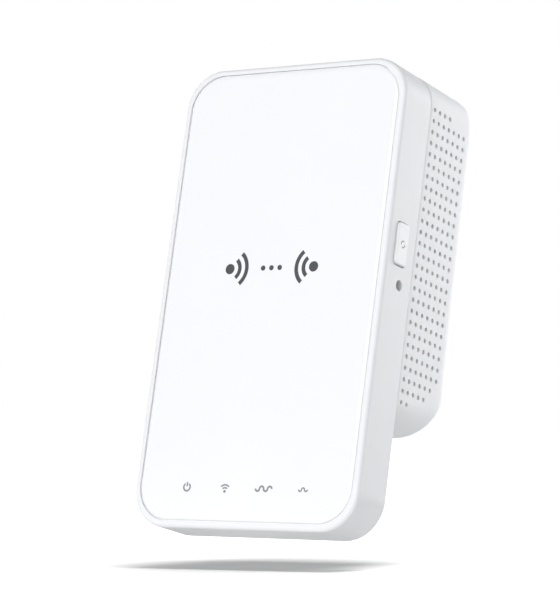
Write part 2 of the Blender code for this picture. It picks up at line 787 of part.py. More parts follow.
def main_electronics():
    holes = (MAIN_SCREW_X, MAIN_SCREW_Z)
    board("main_board", MAIN_BOARD, MAIN_BOARD_START, FRONT_Z, MAIN_BOARD_RADIUS, holes)
    shield_can("processor_shield", (28.0, SHIELD_HEIGHT, 32.0), PROCESSOR_X, 2.0)
    shield_can("radio_shield", (34.0, SHIELD_HEIGHT, 18.0), 0.0, RADIO_Z)
    on_main_board("processor_chip", (13.0, 1.2, 13.0), PROCESSOR_X, 8.0)
    on_main_board("memory_chip", (10.0, 1.1, 8.0), PROCESSOR_X, -6.0)
    on_main_board("flash_chip", (8.0, 1.5, 6.0), 17.0, -22.0)
    on_main_board("radio_chip", (9.0, 1.1, 9.0), 0.0, RADIO_Z)
    pad_back = MAIN_BOARD_START - 2 * GAP - SHIELD_HEIGHT
    pad_place = at(PROCESSOR_X, pad_back - PAD[1] / 2, COOLING_Z)
    add_part("thermal_pad", box("thermal_pad", PAD), pad_place, (0.35, 0.45, 0.6), 0.8)
    spreader_back = pad_back - PAD[1] - GAP
    spreader_place = at(SPREADER_X, spreader_back - SPREADER[1] / 2, COOLING_Z)
    add_part("heat_spreader", box("heat_spreader", SPREADER), spreader_place, METAL, 0.4, 1.0)


def light_x(index):
    return LIGHT_FIRST_X + index * LIGHT_PITCH


def lights():
    """Four diodes, the clear piece that carries their light to the panel, and the block between them."""
    count = len(LIGHT_NAMES)
    middle = (light_x(0) + light_x(count - 1)) / 2
    for index, light in enumerate(LIGHT_NAMES):
        on_main_board("led_" + light, LED, light_x(index), LIGHT_Z, (0.95, 0.93, 0.8), 0.4)
    bar_place = at(middle, GUIDE_BAR_START + GUIDE_BAR[1] / 2, LIGHT_Z)
    guide = add_part("light_guide", box("light_guide", GUIDE_BAR), bar_place, (0.85, 0.9, 0.95), 0.1)
    pipe_start = PANEL_THICKNESS + GAP
    pipe_places = [(light_x(index), 0, LIGHT_Z) for index in range(count)]
    pipes = rods("light_pipes", PIPE_RADIUS, PIPE_END - pipe_start, pipe_places, 12)
    combine(guide, "UNION", add_cutter("light_pipes", pipes, at(0, (pipe_start + PIPE_END) / 2, 0)))
    block_depth = MAIN_BOARD_START - GAP - SHIELD_BLOCK[1] / 2
    block_place = at(middle, block_depth, LIGHT_Z)
    block = add_part("light_shield", box("light_shield", SHIELD_BLOCK), block_place, BLACK, 0.7)
    bm = bmesh.new()
    for index in range(count):
        add_box(bm, (SHIELD_CELL, SHIELD_BLOCK[1] + 2, SHIELD_CELL), (light_x(index), 0, LIGHT_Z))
    cells = finish_mesh("light_cells", bm)
    combine(block, "DIFFERENCE", add_cutter("light_cells", cells, at(0, block_depth, 0)))


def on_power_board(height):
    """Depth of the middle of a part this tall on the power board's front face."""
    return POWER_BOARD_START - GAP - height / 2


def power_electronics():
    holes = (POWER_SCREW_X, POWER_SCREW_Z)
    board("power_board", POWER_BOARD, POWER_BOARD_START, POWER_BOARD_Z, POWER_BOARD_RADIUS, holes)
    transformer(*TRANSFORMER_PLACE)
    for name, x, z, radius, height in CANS:
        can = rod(name, radius, height, sides=20, edge=0.6)
        add_part(name, can, at(x, on_power_board(height), z), (0.05, 0.06, 0.09), 0.35)
    for name, size, x, z, colour in PACKAGES:
        add_part(name, box(name, size), at(x, on_power_board(size[1]), z), colour, 0.5)
    fuse_place = at(FUSE_PLACE[0], on_power_board(2 * FUSE_RADIUS), FUSE_PLACE[1])
    add_part("fuse", rod("fuse", FUSE_RADIUS, FUSE_LENGTH, "Z"), fuse_place, (0.35, 0.18, 0.08), 0.5)
    disc = rod("y_capacitor", DISC_RADIUS, DISC_THICKNESS, "X", edge=1.0)
    disc_place = at(DISC_PLACE[0], on_power_board(2 * DISC_RADIUS), DISC_PLACE[1])
    add_part("y_capacitor", disc, disc_place, (0.05, 0.2, 0.5), 0.4)
    choke()


def choke():
    """The mains filter's toroid, lying on the board."""
    bpy.ops.mesh.primitive_torus_add(
        major_segments=20,
        minor_segments=8,
        major_radius=CHOKE_RADIUS * MM,
        minor_radius=CHOKE_THICKNESS * MM / 2,
    )
    made = bpy.context.object
    data = made.data
    bpy.data.objects.remove(made)
    data.shade_smooth()
    place = at(CHOKE_PLACE[0], on_power_board(CHOKE_THICKNESS), CHOKE_PLACE[1])
    part = add_part("common_mode_choke", data, place, (0.45, 0.2, 0.06), 0.4)
    part.rotation_euler = (math.radians(90), 0, 0)


def transformer(x, z):
    """A ferrite core with two windows and the winding round its middle leg."""
    thickness = TRANSFORMER_CORE[1]
    width, height = CORE_WINDOW
    place = at(x, on_power_board(WINDING_DEPTH), z)
    core = box("transformer_core", TRANSFORMER_CORE)
    part = add_part("transformer_core", core, place, (0.05, 0.05, 0.06), 0.6)
    bm = bmesh.new()
    for side in (-1, 1):
        add_box(bm, (width, thickness + 2, height), (side * (CORE_HALF_LEG + width / 2), 0, 0))
    combine(part, "DIFFERENCE", add_cutter("core_windows", finish_mesh("core_windows", bm), place))
    outer = (2 * (CORE_HALF_LEG + width - GAP), WINDING_DEPTH, height - 2 * GAP)
    inner = (2 * (CORE_HALF_LEG + GAP), thickness + 2 * GAP, height + 2)
    winding = prism_z("transformer_winding", outer, 1.5)
    winding_part = add_part("transformer_winding", winding, place, (0.8, 0.65, 0.15), 0.5)
    room = box("middle_leg_room", inner)
    combine(winding_part, "DIFFERENCE", add_cutter("middle_leg_room", room, place))


def prism_z(name, size, radius, segments=3):
    """A block whose four edges along Z are rounded."""
    bm = bmesh.new()
    add_box(bm, size)
    bevel(bm, edges_along(bm, 2), radius, segments)
    return finish_mesh(name, bm)


def insulating_sheet():
    part = add_part(
        "insulating_sheet",
        prism("insulating_sheet", SHEET, 4.0),
        at(0, SHEET_START + SHEET[1] / 2, SHEET_Z),
        (0.75, 0.72, 0.6),
        0.5,
    )
    slot_place = at(sum(LEAD_X) / 2, SHEET_START, SHEET_SLOT_Z)
    combine(part, "DIFFERENCE", add_cutter("sheet_slot", box("sheet_slot", SHEET_SLOT), slot_place))


def power_leads():
    """Two leads from the power board, through the sheet's slot, to the main board."""
    start = POWER_BOARD_START - GAP
    end = MAIN_BOARD_START + MAIN_BOARD[1] + GAP
    for name, x, colour in zip(LEAD_NAMES, LEAD_X, ((0.6, 0.03, 0.02), BLACK)):
        knots = [at(x, start, -30.5), at(x, 25.0, -30.3), at(x, 17.0, -28.6), at(x, end, -28.0)]
        add_part(name, tube(name, knots, LEAD_RADIUS), ORIGIN, colour, 0.5)


# Antennas

def antenna(side_name, side):
    """A printed antenna under the roof, its coaxial lead, and the plug on the back of the main board."""
    add_part(
        "antenna_" + side_name,
        box("antenna_" + side_name, ANTENNA),
        at(side * ANTENNA_X, ANTENNA_DEPTH, ANTENNA_Z),
        (0.05, 0.2, 0.1),
        0.5,
    )
    plug_start = MAIN_BOARD_START + MAIN_BOARD[1] + GAP
    plug = rod("antenna_plug_" + side_name, COAX_PLUG_RADIUS, COAX_PLUG_LENGTH, edge=0.2)
    plug_place = at(side * COAX_X, plug_start + COAX_PLUG_LENGTH / 2, COAX_PLUG_Z)
    add_part("antenna_plug_" + side_name, plug, plug_place, (0.8, 0.65, 0.3), 0.3, 1.0)
    x = side * COAX_X
    under = ANTENNA_Z - ANTENNA[2] / 2 - GAP - COAX_RADIUS
    knots = [
        at(x, plug_start + COAX_PLUG_LENGTH / 2, COAX_PLUG_Z + COAX_PLUG_RADIUS + GAP),
        at(x, plug_start + COAX_PLUG_LENGTH / 2 + 0.1, 36.0),
        at(x, 13.4, 39.4),
        at(x, 15.8, under - 0.6),
        at(x, 20.0, under),
    ]
    name = "antenna_cable_" + side_name
    add_part(name, tube(name, knots, COAX_RADIUS), ORIGIN, (0.12, 0.12, 0.13), 0.5)


def build():
    front_panel()
    front_housing()
    rear_housing()
    rating_label()
    blade("blade_neutral", -1, NEUTRAL_WIDTH)
    blade("blade_live", 1, LIVE_WIDTH)
    blade_carrier()
    blade_contact("blade_contact_neutral", -1)
    blade_contact("blade_contact_live", 1)
    pair_button()
    side_switch("pair_switch", PAIR_SWITCH, PAIR_SWITCH_X, PAIR_SWITCH_DEPTH, BUTTON_Z, 1.0)
    side_switch("reset_switch", RESET_SWITCH, RESET_SWITCH_X, RESET_DEPTH, RESET_Z, 0.7)
    main_electronics()
    lights()
    power_electronics()
    insulating_sheet()
    power_leads()
    antenna("left", -1)
    antenna("right", 1)
    main_head = MAIN_BOARD_START + MAIN_BOARD[1] + GAP
    screws("main_board_screw", (-MAIN_SCREW_X, MAIN_SCREW_X), MAIN_SCREW_Z, main_head, False)
    power_head = POWER_BOARD_START - GAP
    screws("power_board_screw", (-POWER_SCREW_X, POWER_SCREW_X), POWER_SCREW_Z, power_head, True)


clear_scene()
PARTS = make_collection("wifi_range_extender", False)
CUTTERS = make_collection("cutters", True)
ROOT = bpy.data.objects.new("range_extender_frame", None)
PARTS.objects.link(ROOT)
build()
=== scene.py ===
"""Finished look of a wall-plug wifi range extender: moulded housings, marks, plug, finishes and a studio.

Lengths are metres. X runs to the right as seen from the front, Y towards the wall and Z up, from the
plug's centre on the wall face.
"""

import json
import math

import bmesh
import bpy
from mathutils import Matrix, Vector


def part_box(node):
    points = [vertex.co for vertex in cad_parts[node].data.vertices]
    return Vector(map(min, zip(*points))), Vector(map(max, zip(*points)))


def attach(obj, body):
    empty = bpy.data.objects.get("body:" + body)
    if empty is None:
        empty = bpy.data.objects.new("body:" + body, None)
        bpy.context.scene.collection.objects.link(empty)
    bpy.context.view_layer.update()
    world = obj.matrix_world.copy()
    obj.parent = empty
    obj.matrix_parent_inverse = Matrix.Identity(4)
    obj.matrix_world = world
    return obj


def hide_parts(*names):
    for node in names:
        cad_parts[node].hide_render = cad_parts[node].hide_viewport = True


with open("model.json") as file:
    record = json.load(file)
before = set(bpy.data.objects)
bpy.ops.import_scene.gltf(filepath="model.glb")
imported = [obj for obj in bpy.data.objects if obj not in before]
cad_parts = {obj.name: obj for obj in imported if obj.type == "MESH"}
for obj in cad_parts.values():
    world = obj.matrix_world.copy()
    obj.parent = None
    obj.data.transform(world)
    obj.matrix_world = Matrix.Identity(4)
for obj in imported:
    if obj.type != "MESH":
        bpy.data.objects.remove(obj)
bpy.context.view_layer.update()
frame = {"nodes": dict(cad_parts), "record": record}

bl_info = {
    "name": "Wifi Range Extender",
    "version": (1, 0, 0),
    "blender": (4, 5, 0),
    "location": "3D View > Sidebar > Extender",
    "description": "Builds the finished pieces, materials, lights and stage of a wall-plug range extender",
    "category": "Object",
}

MM = 0.001
HOUSING_BODY = "housing"
PANEL_LOW, PANEL_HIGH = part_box("front_panel")
FRONT_LOW, FRONT_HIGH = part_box("front_housing")
REAR_LOW, REAR_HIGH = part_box("rear_housing")
BUTTON_LOW, BUTTON_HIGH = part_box("pair_button")
LABEL_LOW, LABEL_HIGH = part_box("rating_label")
LIGHTS = ("power", "signal", "low_band", "high_band")
SIDES = (-1, 1)

SHARP_ANGLE = math.radians(32)    # edges that turn more are sharp in shading
CUT_ANGLE = math.radians(50)      # cut edges that turn more are softened
MATCH = 0.001 * MM                # places closer than this are one
PAST = 1.0 * MM                   # how far a cutter runs past the face that it opens
ALONG = 0.999                     # least share of an edge's length for it to run along an axis
FACING = 0.9                      # least part of a face's normal for it to face a way
FLAT = 0.9999                     # the same for a face that lies flat on a side
SCREWS = 4                        # for each board

# Starts and sweeps of bands are degrees, from the right and anticlockwise as seen from the front

# Inside the housings
BOSS_RADIUS = 3.0 * MM
PILOT_RADIUS = 1.4 * MM
PILOT_DEPTH = 5.8 * MM
LIGHT_HOLE_RADIUS = 2.0 * MM
LEDGE = 0.3 * MM             # step between the front housing's room and its open back
TONGUE_DEPTH = 3.1 * MM
TONGUE_WALL = 1.4 * MM

# Right side
RESET_RADIUS = 1.45 * MM
CAP_DEPTH = 5.2 * MM
CAP_HEIGHT = 11.0 * MM
CAP_CORNER = 1.0 * MM
CAP_EDGE = 0.45 * MM
CAP_SOFTNESS = 0.1 * MM
CAP_START = 1.0 * MM         # from the flange's inner face, inside the flange
CAP_OPENING_CORNER = 1.2 * MM
CAP_OPENING_DEPTH = 4.1 * MM
FLANGE_THICKNESS = 1.4 * MM
RING_RADIUS = 0.85 * MM
RING_WIDTH = 0.28 * MM
RING_STARTS = (60, 240)
RING_SWEEP = 130

# Vents
VENT_MARGIN = 0.25 * MM      # plain border of the flat side round the grid
VENT_ROUNDING = 0.29         # share of a hole's width that its corners lose
TOP_ROW_HOLES = 4
LAST_ROWS_HOLES = (6, 5, 2)
LOWEST_CUT_DEPTH = 4.0 * MM

# Back
BLADES = (("blade_neutral", 7.9 * MM), ("blade_live", 6.35 * MM))
BLADE_TIP = 1.6 * MM
BLADE_EDGE = 0.18 * MM
BLADE_HEAD = 0.8 * MM
BLADE_OVERLAP = 0.3 * MM
BLADE_HOLE_REACH = 11.7 * MM
BLADE_HOLE_RADIUS = 1.6 * MM
BLADE_SLOT_REACH = 3.0 * MM
LABEL_CORNER = 1.2 * MM
LABEL_EDGE = 0.05 * MM
LABEL_RECESS_CORNER = 1.5 * MM

# Relay pictogram
SENDER_RADIUS = 1.4 * MM
ARC_RADII = (3.1 * MM, 5.3 * MM)
ARC_WIDTH = 1.1 * MM
ARC_SWEEP = 100
DOT_RADIUS = 0.7 * MM
DOT_PITCH = 2.6 * MM

# Status icons
POWER_RADIUS = 1.0 * MM
POWER_START = 125
POWER_SWEEP = 290
ICON_STROKE = 0.44 * MM
POWER_BAR = 1.1 * MM
POWER_BAR_RISE = 0.75 * MM
SIGNAL_DROP = 0.9 * MM
SIGNAL_DOT = 0.38 * MM
SIGNAL_RADII = (0.95 * MM, 1.7 * MM)
SIGNAL_START = 45
SIGNAL_SWEEP = 90
SIGNAL_STROKE = 0.42 * MM
COARSE_WAVE = (0.62 * MM, 4, 0.5 * MM)    # radius, half turns, stroke
FINE_WAVE = (0.44 * MM, 3, 0.4 * MM)

# Sockets of a Mix node that carry colours
FIRST_COLOUR, SECOND_COLOUR, MIXED_COLOUR = 6, 7, 2


def length(name, default, description):
    return bpy.props.FloatProperty(
        name=name,
        description=description,
        default=default,
        min=0.0,
        precision=5,
        unit="LENGTH",
        subtype="DISTANCE",
    )


def position(name, default, description):
    """A length that may lie on either side of zero."""
    return bpy.props.FloatProperty(
        name=name, description=description, default=default, precision=5, unit="LENGTH", subtype="DISTANCE"
    )


def colour(name, default, description):
    return bpy.props.FloatVectorProperty(
        name=name, description=description, default=default, size=3, min=0.0, max=1.0, subtype="COLOR"
    )


def amount(name, default, description):
    return bpy.props.FloatProperty(name=name, description=description, default=default, min=0.0)


def point(name, default, description):
    return bpy.props.FloatVectorProperty(
        name=name, description=description, default=default, size=3, unit="LENGTH", subtype="TRANSLATION"
    )


def angle(name, default, description):
    return bpy.props.FloatProperty(
        name=name, description=description, default=math.radians(default), subtype="ANGLE", unit="ROTATION"
    )


class ExtenderHousing(bpy.types.PropertyGroup):
    """Shape of the two housings and the front panel."""

    corner_radius: length("Corner Radius", 10.5 * MM, "Corners of the front housing, seen from the front")
    rim_radius: length("Rim Radius", 1.15 * MM, "Rounding of the front rim")
    panel_radius: length("Panel Radius", 9.4 * MM, "Corners of the front panel")
    panel_edge: length("Panel Edge", 0.42 * MM, "Rounding of the panel's front edge")
    panel_step: length("Panel Step", 0.24 * MM, "How far the panel's lower part reaches into the groove")
    slope_width: length("Slope Width", 0.9 * MM, "Width of the panel's gently sloping border")
    slope_depth: length("Slope Depth", 0.14 * MM, "How far the panel falls over that border")
    groove: length("Groove", 0.3 * MM, "Gap between the panel and the rim")
    groove_depth: length("Groove Depth", 0.56 * MM, "Depth of the groove that shows")
    front_wall: length("Front Wall", 2.0 * MM, "Thickness of the front housing's sides")
    front_web: length("Front Web", 1.5 * MM, "Thickness of the wall behind the panel")
    back_wall: length("Back Wall", 1.9 * MM, "Thickness of the front housing's lower back")
    rear_wall: length("Rear Wall", 2.4 * MM, "Thickness of the rear housing")
    side_radius: length("Side Radius", 8.2 * MM, "Rounding along both sides of the rear housing")
    top_back_radius: length("Top Back Radius", 9.0 * MM, "Rounding between the roof and the back")
    belly_depth: length("Belly Depth", 22.0 * MM, "Reach of the lower back's sweep along the depth")
    belly_height: length("Belly Height", 15.5 * MM, "Reach of the lower back's sweep up the back")
    joint_edge: length("Joint Edge", 1.2 * MM, "Rounding of the rear housing where it meets the front one")
    cut_edge: length("Cut Edge", 0.15 * MM, "Softening of every cut edge")


class ExtenderVents(bpy.types.PropertyGroup):
    """The grid of vent holes on both sides."""

    rows: bpy.props.IntProperty(name="Rows", description="Rows from top to bottom", default=27, min=1)
    columns: bpy.props.IntProperty(name="Columns", description="Holes in a full row", default=8, min=1)
    row_pitch: length("Row Pitch", 3.01 * MM, "Distance between rows")
    column_pitch: length("Column Pitch", 2.65 * MM, "Distance between columns")
    top: position("Top Row", 38.45 * MM, "Height of the top row above the plug's centre")
    first: length("First Column", 26.2 * MM, "Distance of the first column from the wall face")
    hole: length("Hole", 1.2 * MM, "Width of a hole")


class ExtenderMarks(bpy.types.PropertyGroup):
    """Printed pictograms on the panel and the button."""

    ink: colour("Ink", (0.06, 0.06, 0.065), "Grey of the large pictogram")
    pale_ink: colour("Pale Ink", (0.26, 0.26, 0.28), "Grey of the small icons")
    thickness: length("Thickness", 0.04 * MM, "How far a mark stands out of the panel")
    pictogram_height: position("Pictogram Height", -7.7 * MM, "Middle of the large pictogram")
    pictogram_width: length("Pictogram Width", 29.0 * MM, "From end to end")
    icon_height: position("Icon Height", -66.0 * MM, "Height of the row of icons")
    icon_pitch: length("Icon Pitch", 12.0 * MM, "Distance between icons")
    icon_start: position("First Icon", -17.7 * MM, "Side position of the first icon")


class ExtenderStage(bpy.types.PropertyGroup):
    """Camera, floor and lights."""

    aim: point("Aim", (2.44 * MM, -40.1 * MM, -17.1 * MM), "Point that the camera looks at")
    azimuth: angle("Azimuth", 34.88, "Camera's turn to the right of the front")
    elevation: angle("Elevation", -12.5, "Camera's height above the level of its aim")
    roll: angle("Roll", 7.23, "Camera's roll about its own axis")
    distance: length("Distance", 0.6902, "From the camera to its aim")
    lens: amount("Lens", 157.0, "Focal length in millimetres")
    floor_size: length("Floor Size", 3.0, "Half the floor's width")
    floor_drop: length("Floor Drop", 0.0679, "Floor below the camera's axis at the aim")
    floor_tilt: angle("Floor Tilt", -2.4, "How far the floor leans towards the camera")
    floor_roll: angle("Floor Roll", 0.9, "How far the floor leans to one side")
    floor_colour: colour("Floor", (0.42, 0.42, 0.42), "Pale floor")
    # floor_glow, far_glow, shadow_shift, glow_start and glow_end shape a camera-only glow of the floor: dim
    # at the shadow's middle and full far off, it paints the soft fade of the cast shadow
    floor_glow: amount("Floor Glow", 0.03, "Light that the floor adds for the camera in the shadow")
    far_glow: amount("Far Glow", 0.65, "Light that the floor adds for the camera far away")
    # floor_return, under_glow and under_reach are painted shade and painted light under the piece: the floor
    # sends back a darker share than it shows, and near the shadow it glows up at the piece though it is no
    # lamp
    floor_return: colour("Floor Return", (0.22, 0.22, 0.22), "Share of light that the floor sends back")
    under_glow: amount("Under Glow", 0.46, "Light that the floor sends up to the piece from its shadow")
    under_reach: length("Under Reach", 0.09, "Distance from the shadow's middle where that light ends")
    shadow_shift: length("Shadow Shift", 0.006, "How far the shadow's middle lies left of the camera's aim")
    glow_start: length("Glow Start", 0.012, "Distance from the shadow's middle where the glow begins to grow")
    glow_end: length("Glow End", 0.075, "Distance from the shadow's middle where the glow is full")
    fill_colour: colour("Fill Colour", (0.97, 0.98, 1.0), "Colour of the light from all round")
    fill_around: amount("Fill Around", 1.18, "Light from the sides and below")
    fill_above: amount("Fill Above", 0.22, "Light from above")
    fill_start: amount("Fill Start", 0.1, "Rise above the level, as a sine, where the light begins to dim")
    fill_end: amount("Fill End", 0.8, "Rise above the level, as a sine, where it is dimmest")
    overhead: amount("Overhead", 5.4, "Strength of the wide overhead light that casts the shadow")
    overhead_spread: angle("Overhead Spread", 32, "Angle that the overhead light fills")
    overhead_lean: angle("Overhead Lean", 14.5, "How far the overhead light leans to the right")
    key: amount("Key", 5.95, "Power of the large light in front")
    key_size: length("Key Size", 0.8, "Width of the front light")
    key_place: point("Key Place", (-0.5, 0.3, 0.8), "Right of, above and nearer than the camera's aim")
    side: amount("Side", 1.05, "Power of the light on the right")
    side_size: length("Side Size", 0.3, "Width of the side light")
    side_place: point("Side Place", (0.24, 0.0, -0.25), "Right of, above and nearer than the camera's aim")


# Meshes

def middle(low, high):
    return (low + high) / 2


def add_block(bm, low, high):
    low, high = Vector(low), Vector(high)
    place = Matrix.Translation(middle(low, high)) @ Matrix.Diagonal((*(high - low), 1.0))
    bmesh.ops.create_cube(bm, size=1.0, matrix=place)


def add_rod(bm, start, end, radius, sides):
    """A closed cylinder between two points."""
    start, end = Vector(start), Vector(end)
    run = end - start
    place = Matrix.Translation(middle(start, end)) @ run.to_track_quat("Z", "Y").to_matrix().to_4x4()
    bmesh.ops.create_cone(
        bm, cap_ends=True, segments=sides, radius1=radius, radius2=radius, depth=run.length, matrix=place
    )


def bevel(bm, geom, width, segments, affect="EDGES"):
    bmesh.ops.bevel(
        bm,
        geom=geom,
        offset=width,
        segments=segments,
        profile=0.5,
        affect=affect,
        material=-1,
        clamp_overlap=False,
    )


def edges_along(bm, axis):
    found = []
    for edge in bm.edges:
        run = edge.verts[1].co - edge.verts[0].co
        if abs(run[axis]) > ALONG * run.length:
            found.append(edge)
    return found


def edges_at(bm, axis, value):
    """The edges that lie where one coordinate has this value."""
    return [e for e in bm.edges if all(abs(v.co[axis] - value) < MATCH for v in e.verts)]


def prism(low, high, radius, segments=12, axis=1):
    """A block whose four edges along an axis are rounded."""
    bm = bmesh.new()
    add_block(bm, low, high)
    bevel(bm, edges_along(bm, axis), radius, segments)
    return bm


def rods(places, start, end, radius, sides=20):
    """Cylinders along the depth at side and height places."""
    bm = bmesh.new()
    for x, z in places:
        add_rod(bm, (x, start, z), (x, end, z), radius, sides)
    return bm


def to_mesh(bm, name):
    data = bpy.data.meshes.new(name)
    bm.to_mesh(data)
    bm.free()
    return data


def new_object(name, bm):
    made = bpy.data.objects.new(name, to_mesh(bm, name))
    bpy.context.scene.collection.objects.link(made)
    return made


def apply_modifiers(piece):
    graph = bpy.context.evaluated_depsgraph_get()
    finished = bpy.data.meshes.new_from_object(piece.evaluated_get(graph))
    piece.modifiers.clear()
    spare = piece.data
    piece.data = finished
    bpy.data.meshes.remove(spare)


def combine(piece, operation, bm):
    """Joins a helper shape to the piece or cuts it out."""
    helper = new_object("helper", bm)
    modifier = piece.modifiers.new("combine", "BOOLEAN")
    modifier.operation = operation
    modifier.object = helper
    modifier.solver = "EXACT"
    apply_modifiers(piece)
    bpy.data.objects.remove(helper)


def thicken(piece, thickness):
    """Gives an open shell a wall on its inner side."""
    wall = piece.modifiers.new("wall", "SOLIDIFY")
    wall.thickness = thickness
    wall.offset = -1
    wall.use_even_offset = True
    apply_modifiers(piece)


def keep_flat(piece):
    """Keeps the flat faces flat in shading, up to their rounded edges."""
    piece.modifiers.new("flat_faces", "WEIGHTED_NORMAL").keep_sharp = True


def soften_cuts(piece, width):
    """Rounds the sharp edges."""
    edge = piece.modifiers.new("cut_edges", "BEVEL")
    edge.width = width
    edge.segments = 2
    edge.limit_method = "ANGLE"
    edge.angle_limit = CUT_ANGLE
    edge.use_clamp_overlap = True
    edge.miter_outer = "MITER_ARC"
    keep_flat(piece)


def finish_piece(piece, finish, body, *nodes):
    """Shades a piece, gives it the material of its finish, sets what it rides on, and hides the parts that it
    stands for.
    """
    piece.data.materials.clear()
    piece.data.materials.append(material_for(finish))
    piece.data.shade_smooth()
    piece.data.set_sharp_from_angle(angle=SHARP_ANGLE)
    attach(piece, body)
    if nodes:
        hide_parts(*nodes)
    return piece


def add_band(bm, centre, radius, width, start, sweep, steps):
    """A flat ring section in the XZ plane, from a start angle over a sweep in degrees."""
    turn = Matrix.Rotation(math.radians(-start), 3, "Y")
    inner = bm.verts.new(centre + turn @ Vector((radius - width / 2, 0, 0)))
    outer = bm.verts.new(centre + turn @ Vector((radius + width / 2, 0, 0)))
    edge = bm.edges.new((inner, outer))
    bmesh.ops.spin(
        bm,
        geom=[inner, outer, edge],
        cent=centre,
        axis=(0, -1, 0),
        angle=math.radians(sweep),
        steps=steps,
    )


def add_dot(bm, centre, radius, sides=32):
    place = Matrix.Translation(centre) @ Matrix.Rotation(math.radians(90), 4, "X")
    bmesh.ops.create_circle(bm, cap_ends=True, segments=sides, radius=radius, matrix=place)


def extrude(bm, faces, move, **options):
    """Extrudes faces and moves the new ones."""
    made = bmesh.ops.extrude_face_region(bm, geom=faces, **options)["geom"]
    bmesh.ops.translate(bm, verts=[v for v in made if isinstance(v, bmesh.types.BMVert)], vec=move)


def raise_marks(bm, thickness):
    """Turns flat marks into thin closed solids that stand out towards the front."""
    extrude(bm, bm.faces[:], (0, -thickness, 0), use_keep_orig=True)
    bmesh.ops.recalc_face_normals(bm, faces=bm.faces[:])


# Node groups that materials share

def new_group(name, inputs, outputs):
    group = bpy.data.node_groups.new(name, "ShaderNodeTree")
    for socket, kind in inputs:
        group.interface.new_socket(name=socket, in_out="INPUT", socket_type=kind)
    for socket, kind in outputs:
        group.interface.new_socket(name=socket, in_out="OUTPUT", socket_type=kind)
    return group, group.nodes.new("NodeGroupInput"), group.nodes.new("NodeGroupOutput")


def add_noise(nodes, detail, roughness=0.5):
    noise = nodes.new("ShaderNodeTexNoise")
    noise.inputs["Detail"].default_value = detail
    noise.inputs["Roughness"].default_value = roughness
    return noise


def grain_group():
    """Fine moulded grain: a height for bumps, and a slow cloud for tone and gloss."""
    found = bpy.data.node_groups.get("moulded_grain")
    if found:
        return found
    group, given, out = new_group(
        "moulded_grain",
        (
            ("Vector", "NodeSocketVector"),
            ("Grain Scale", "NodeSocketFloat"),
            ("Cloud Scale", "NodeSocketFloat"),
        ),
        (("Height", "NodeSocketFloat"), ("Cloud", "NodeSocketFloat")),
    )
    nodes, links = group.nodes, group.links
    fine = add_noise(nodes, 2.0, 0.6)
    pits = nodes.new("ShaderNodeTexVoronoi")
    pits.feature = "SMOOTH_F1"
    blend = nodes.new("ShaderNodeMath")
    blend.operation = "MULTIPLY_ADD"
    blend.inputs[1].default_value = 0.5
    cloud = add_noise(nodes, 3.0)
    for texture, scale in ((fine, "Grain Scale"), (pits, "Grain Scale"), (cloud, "Cloud Scale")):
        links.new(given.outputs["Vector"], texture.inputs["Vector"])
        links.new(given.outputs[scale], texture.inputs["Scale"])
    links.new(pits.outputs["Distance"], blend.inputs[0])
    links.new(fine.outputs["Fac"], blend.inputs[2])
    links.new(blend.outputs["Value"], out.inputs["Height"])
    links.new(cloud.outputs["Fac"], out.inputs["Cloud"])
    return group


def brushed_group():
    """Fine drawn lines along the first axis of the vector."""
    found = bpy.data.node_groups.get("drawn_lines")
    if found:
        return found
    group, given, out = new_group(
        "drawn_lines",
        (("Vector", "NodeSocketVector"), ("Line Scale", "NodeSocketFloat")),
        (("Height", "NodeSocketFloat"), ("Cloud", "NodeSocketFloat")),
    )
    nodes, links = group.nodes, group.links
    stretch = nodes.new("ShaderNodeVectorMath")
    stretch.operation = "MULTIPLY"
    stretch.inputs[1].default_value = (1.0, 0.04, 1.0)
    lines = add_noise(nodes, 4.0, 0.7)
    cloud = add_noise(nodes, 2.0)
    cloud.inputs["Scale"].default_value = 120.0
    links.new(given.outputs["Vector"], stretch.inputs[0])
    links.new(stretch.outputs["Vector"], lines.inputs["Vector"])
    links.new(given.outputs["Line Scale"], lines.inputs["Scale"])
    links.new(given.outputs["Vector"], cloud.inputs["Vector"])
    links.new(lines.outputs["Fac"], out.inputs["Height"])
    links.new(cloud.outputs["Fac"], out.inputs["Cloud"])
    return group


# Materials, one for each finish of the record

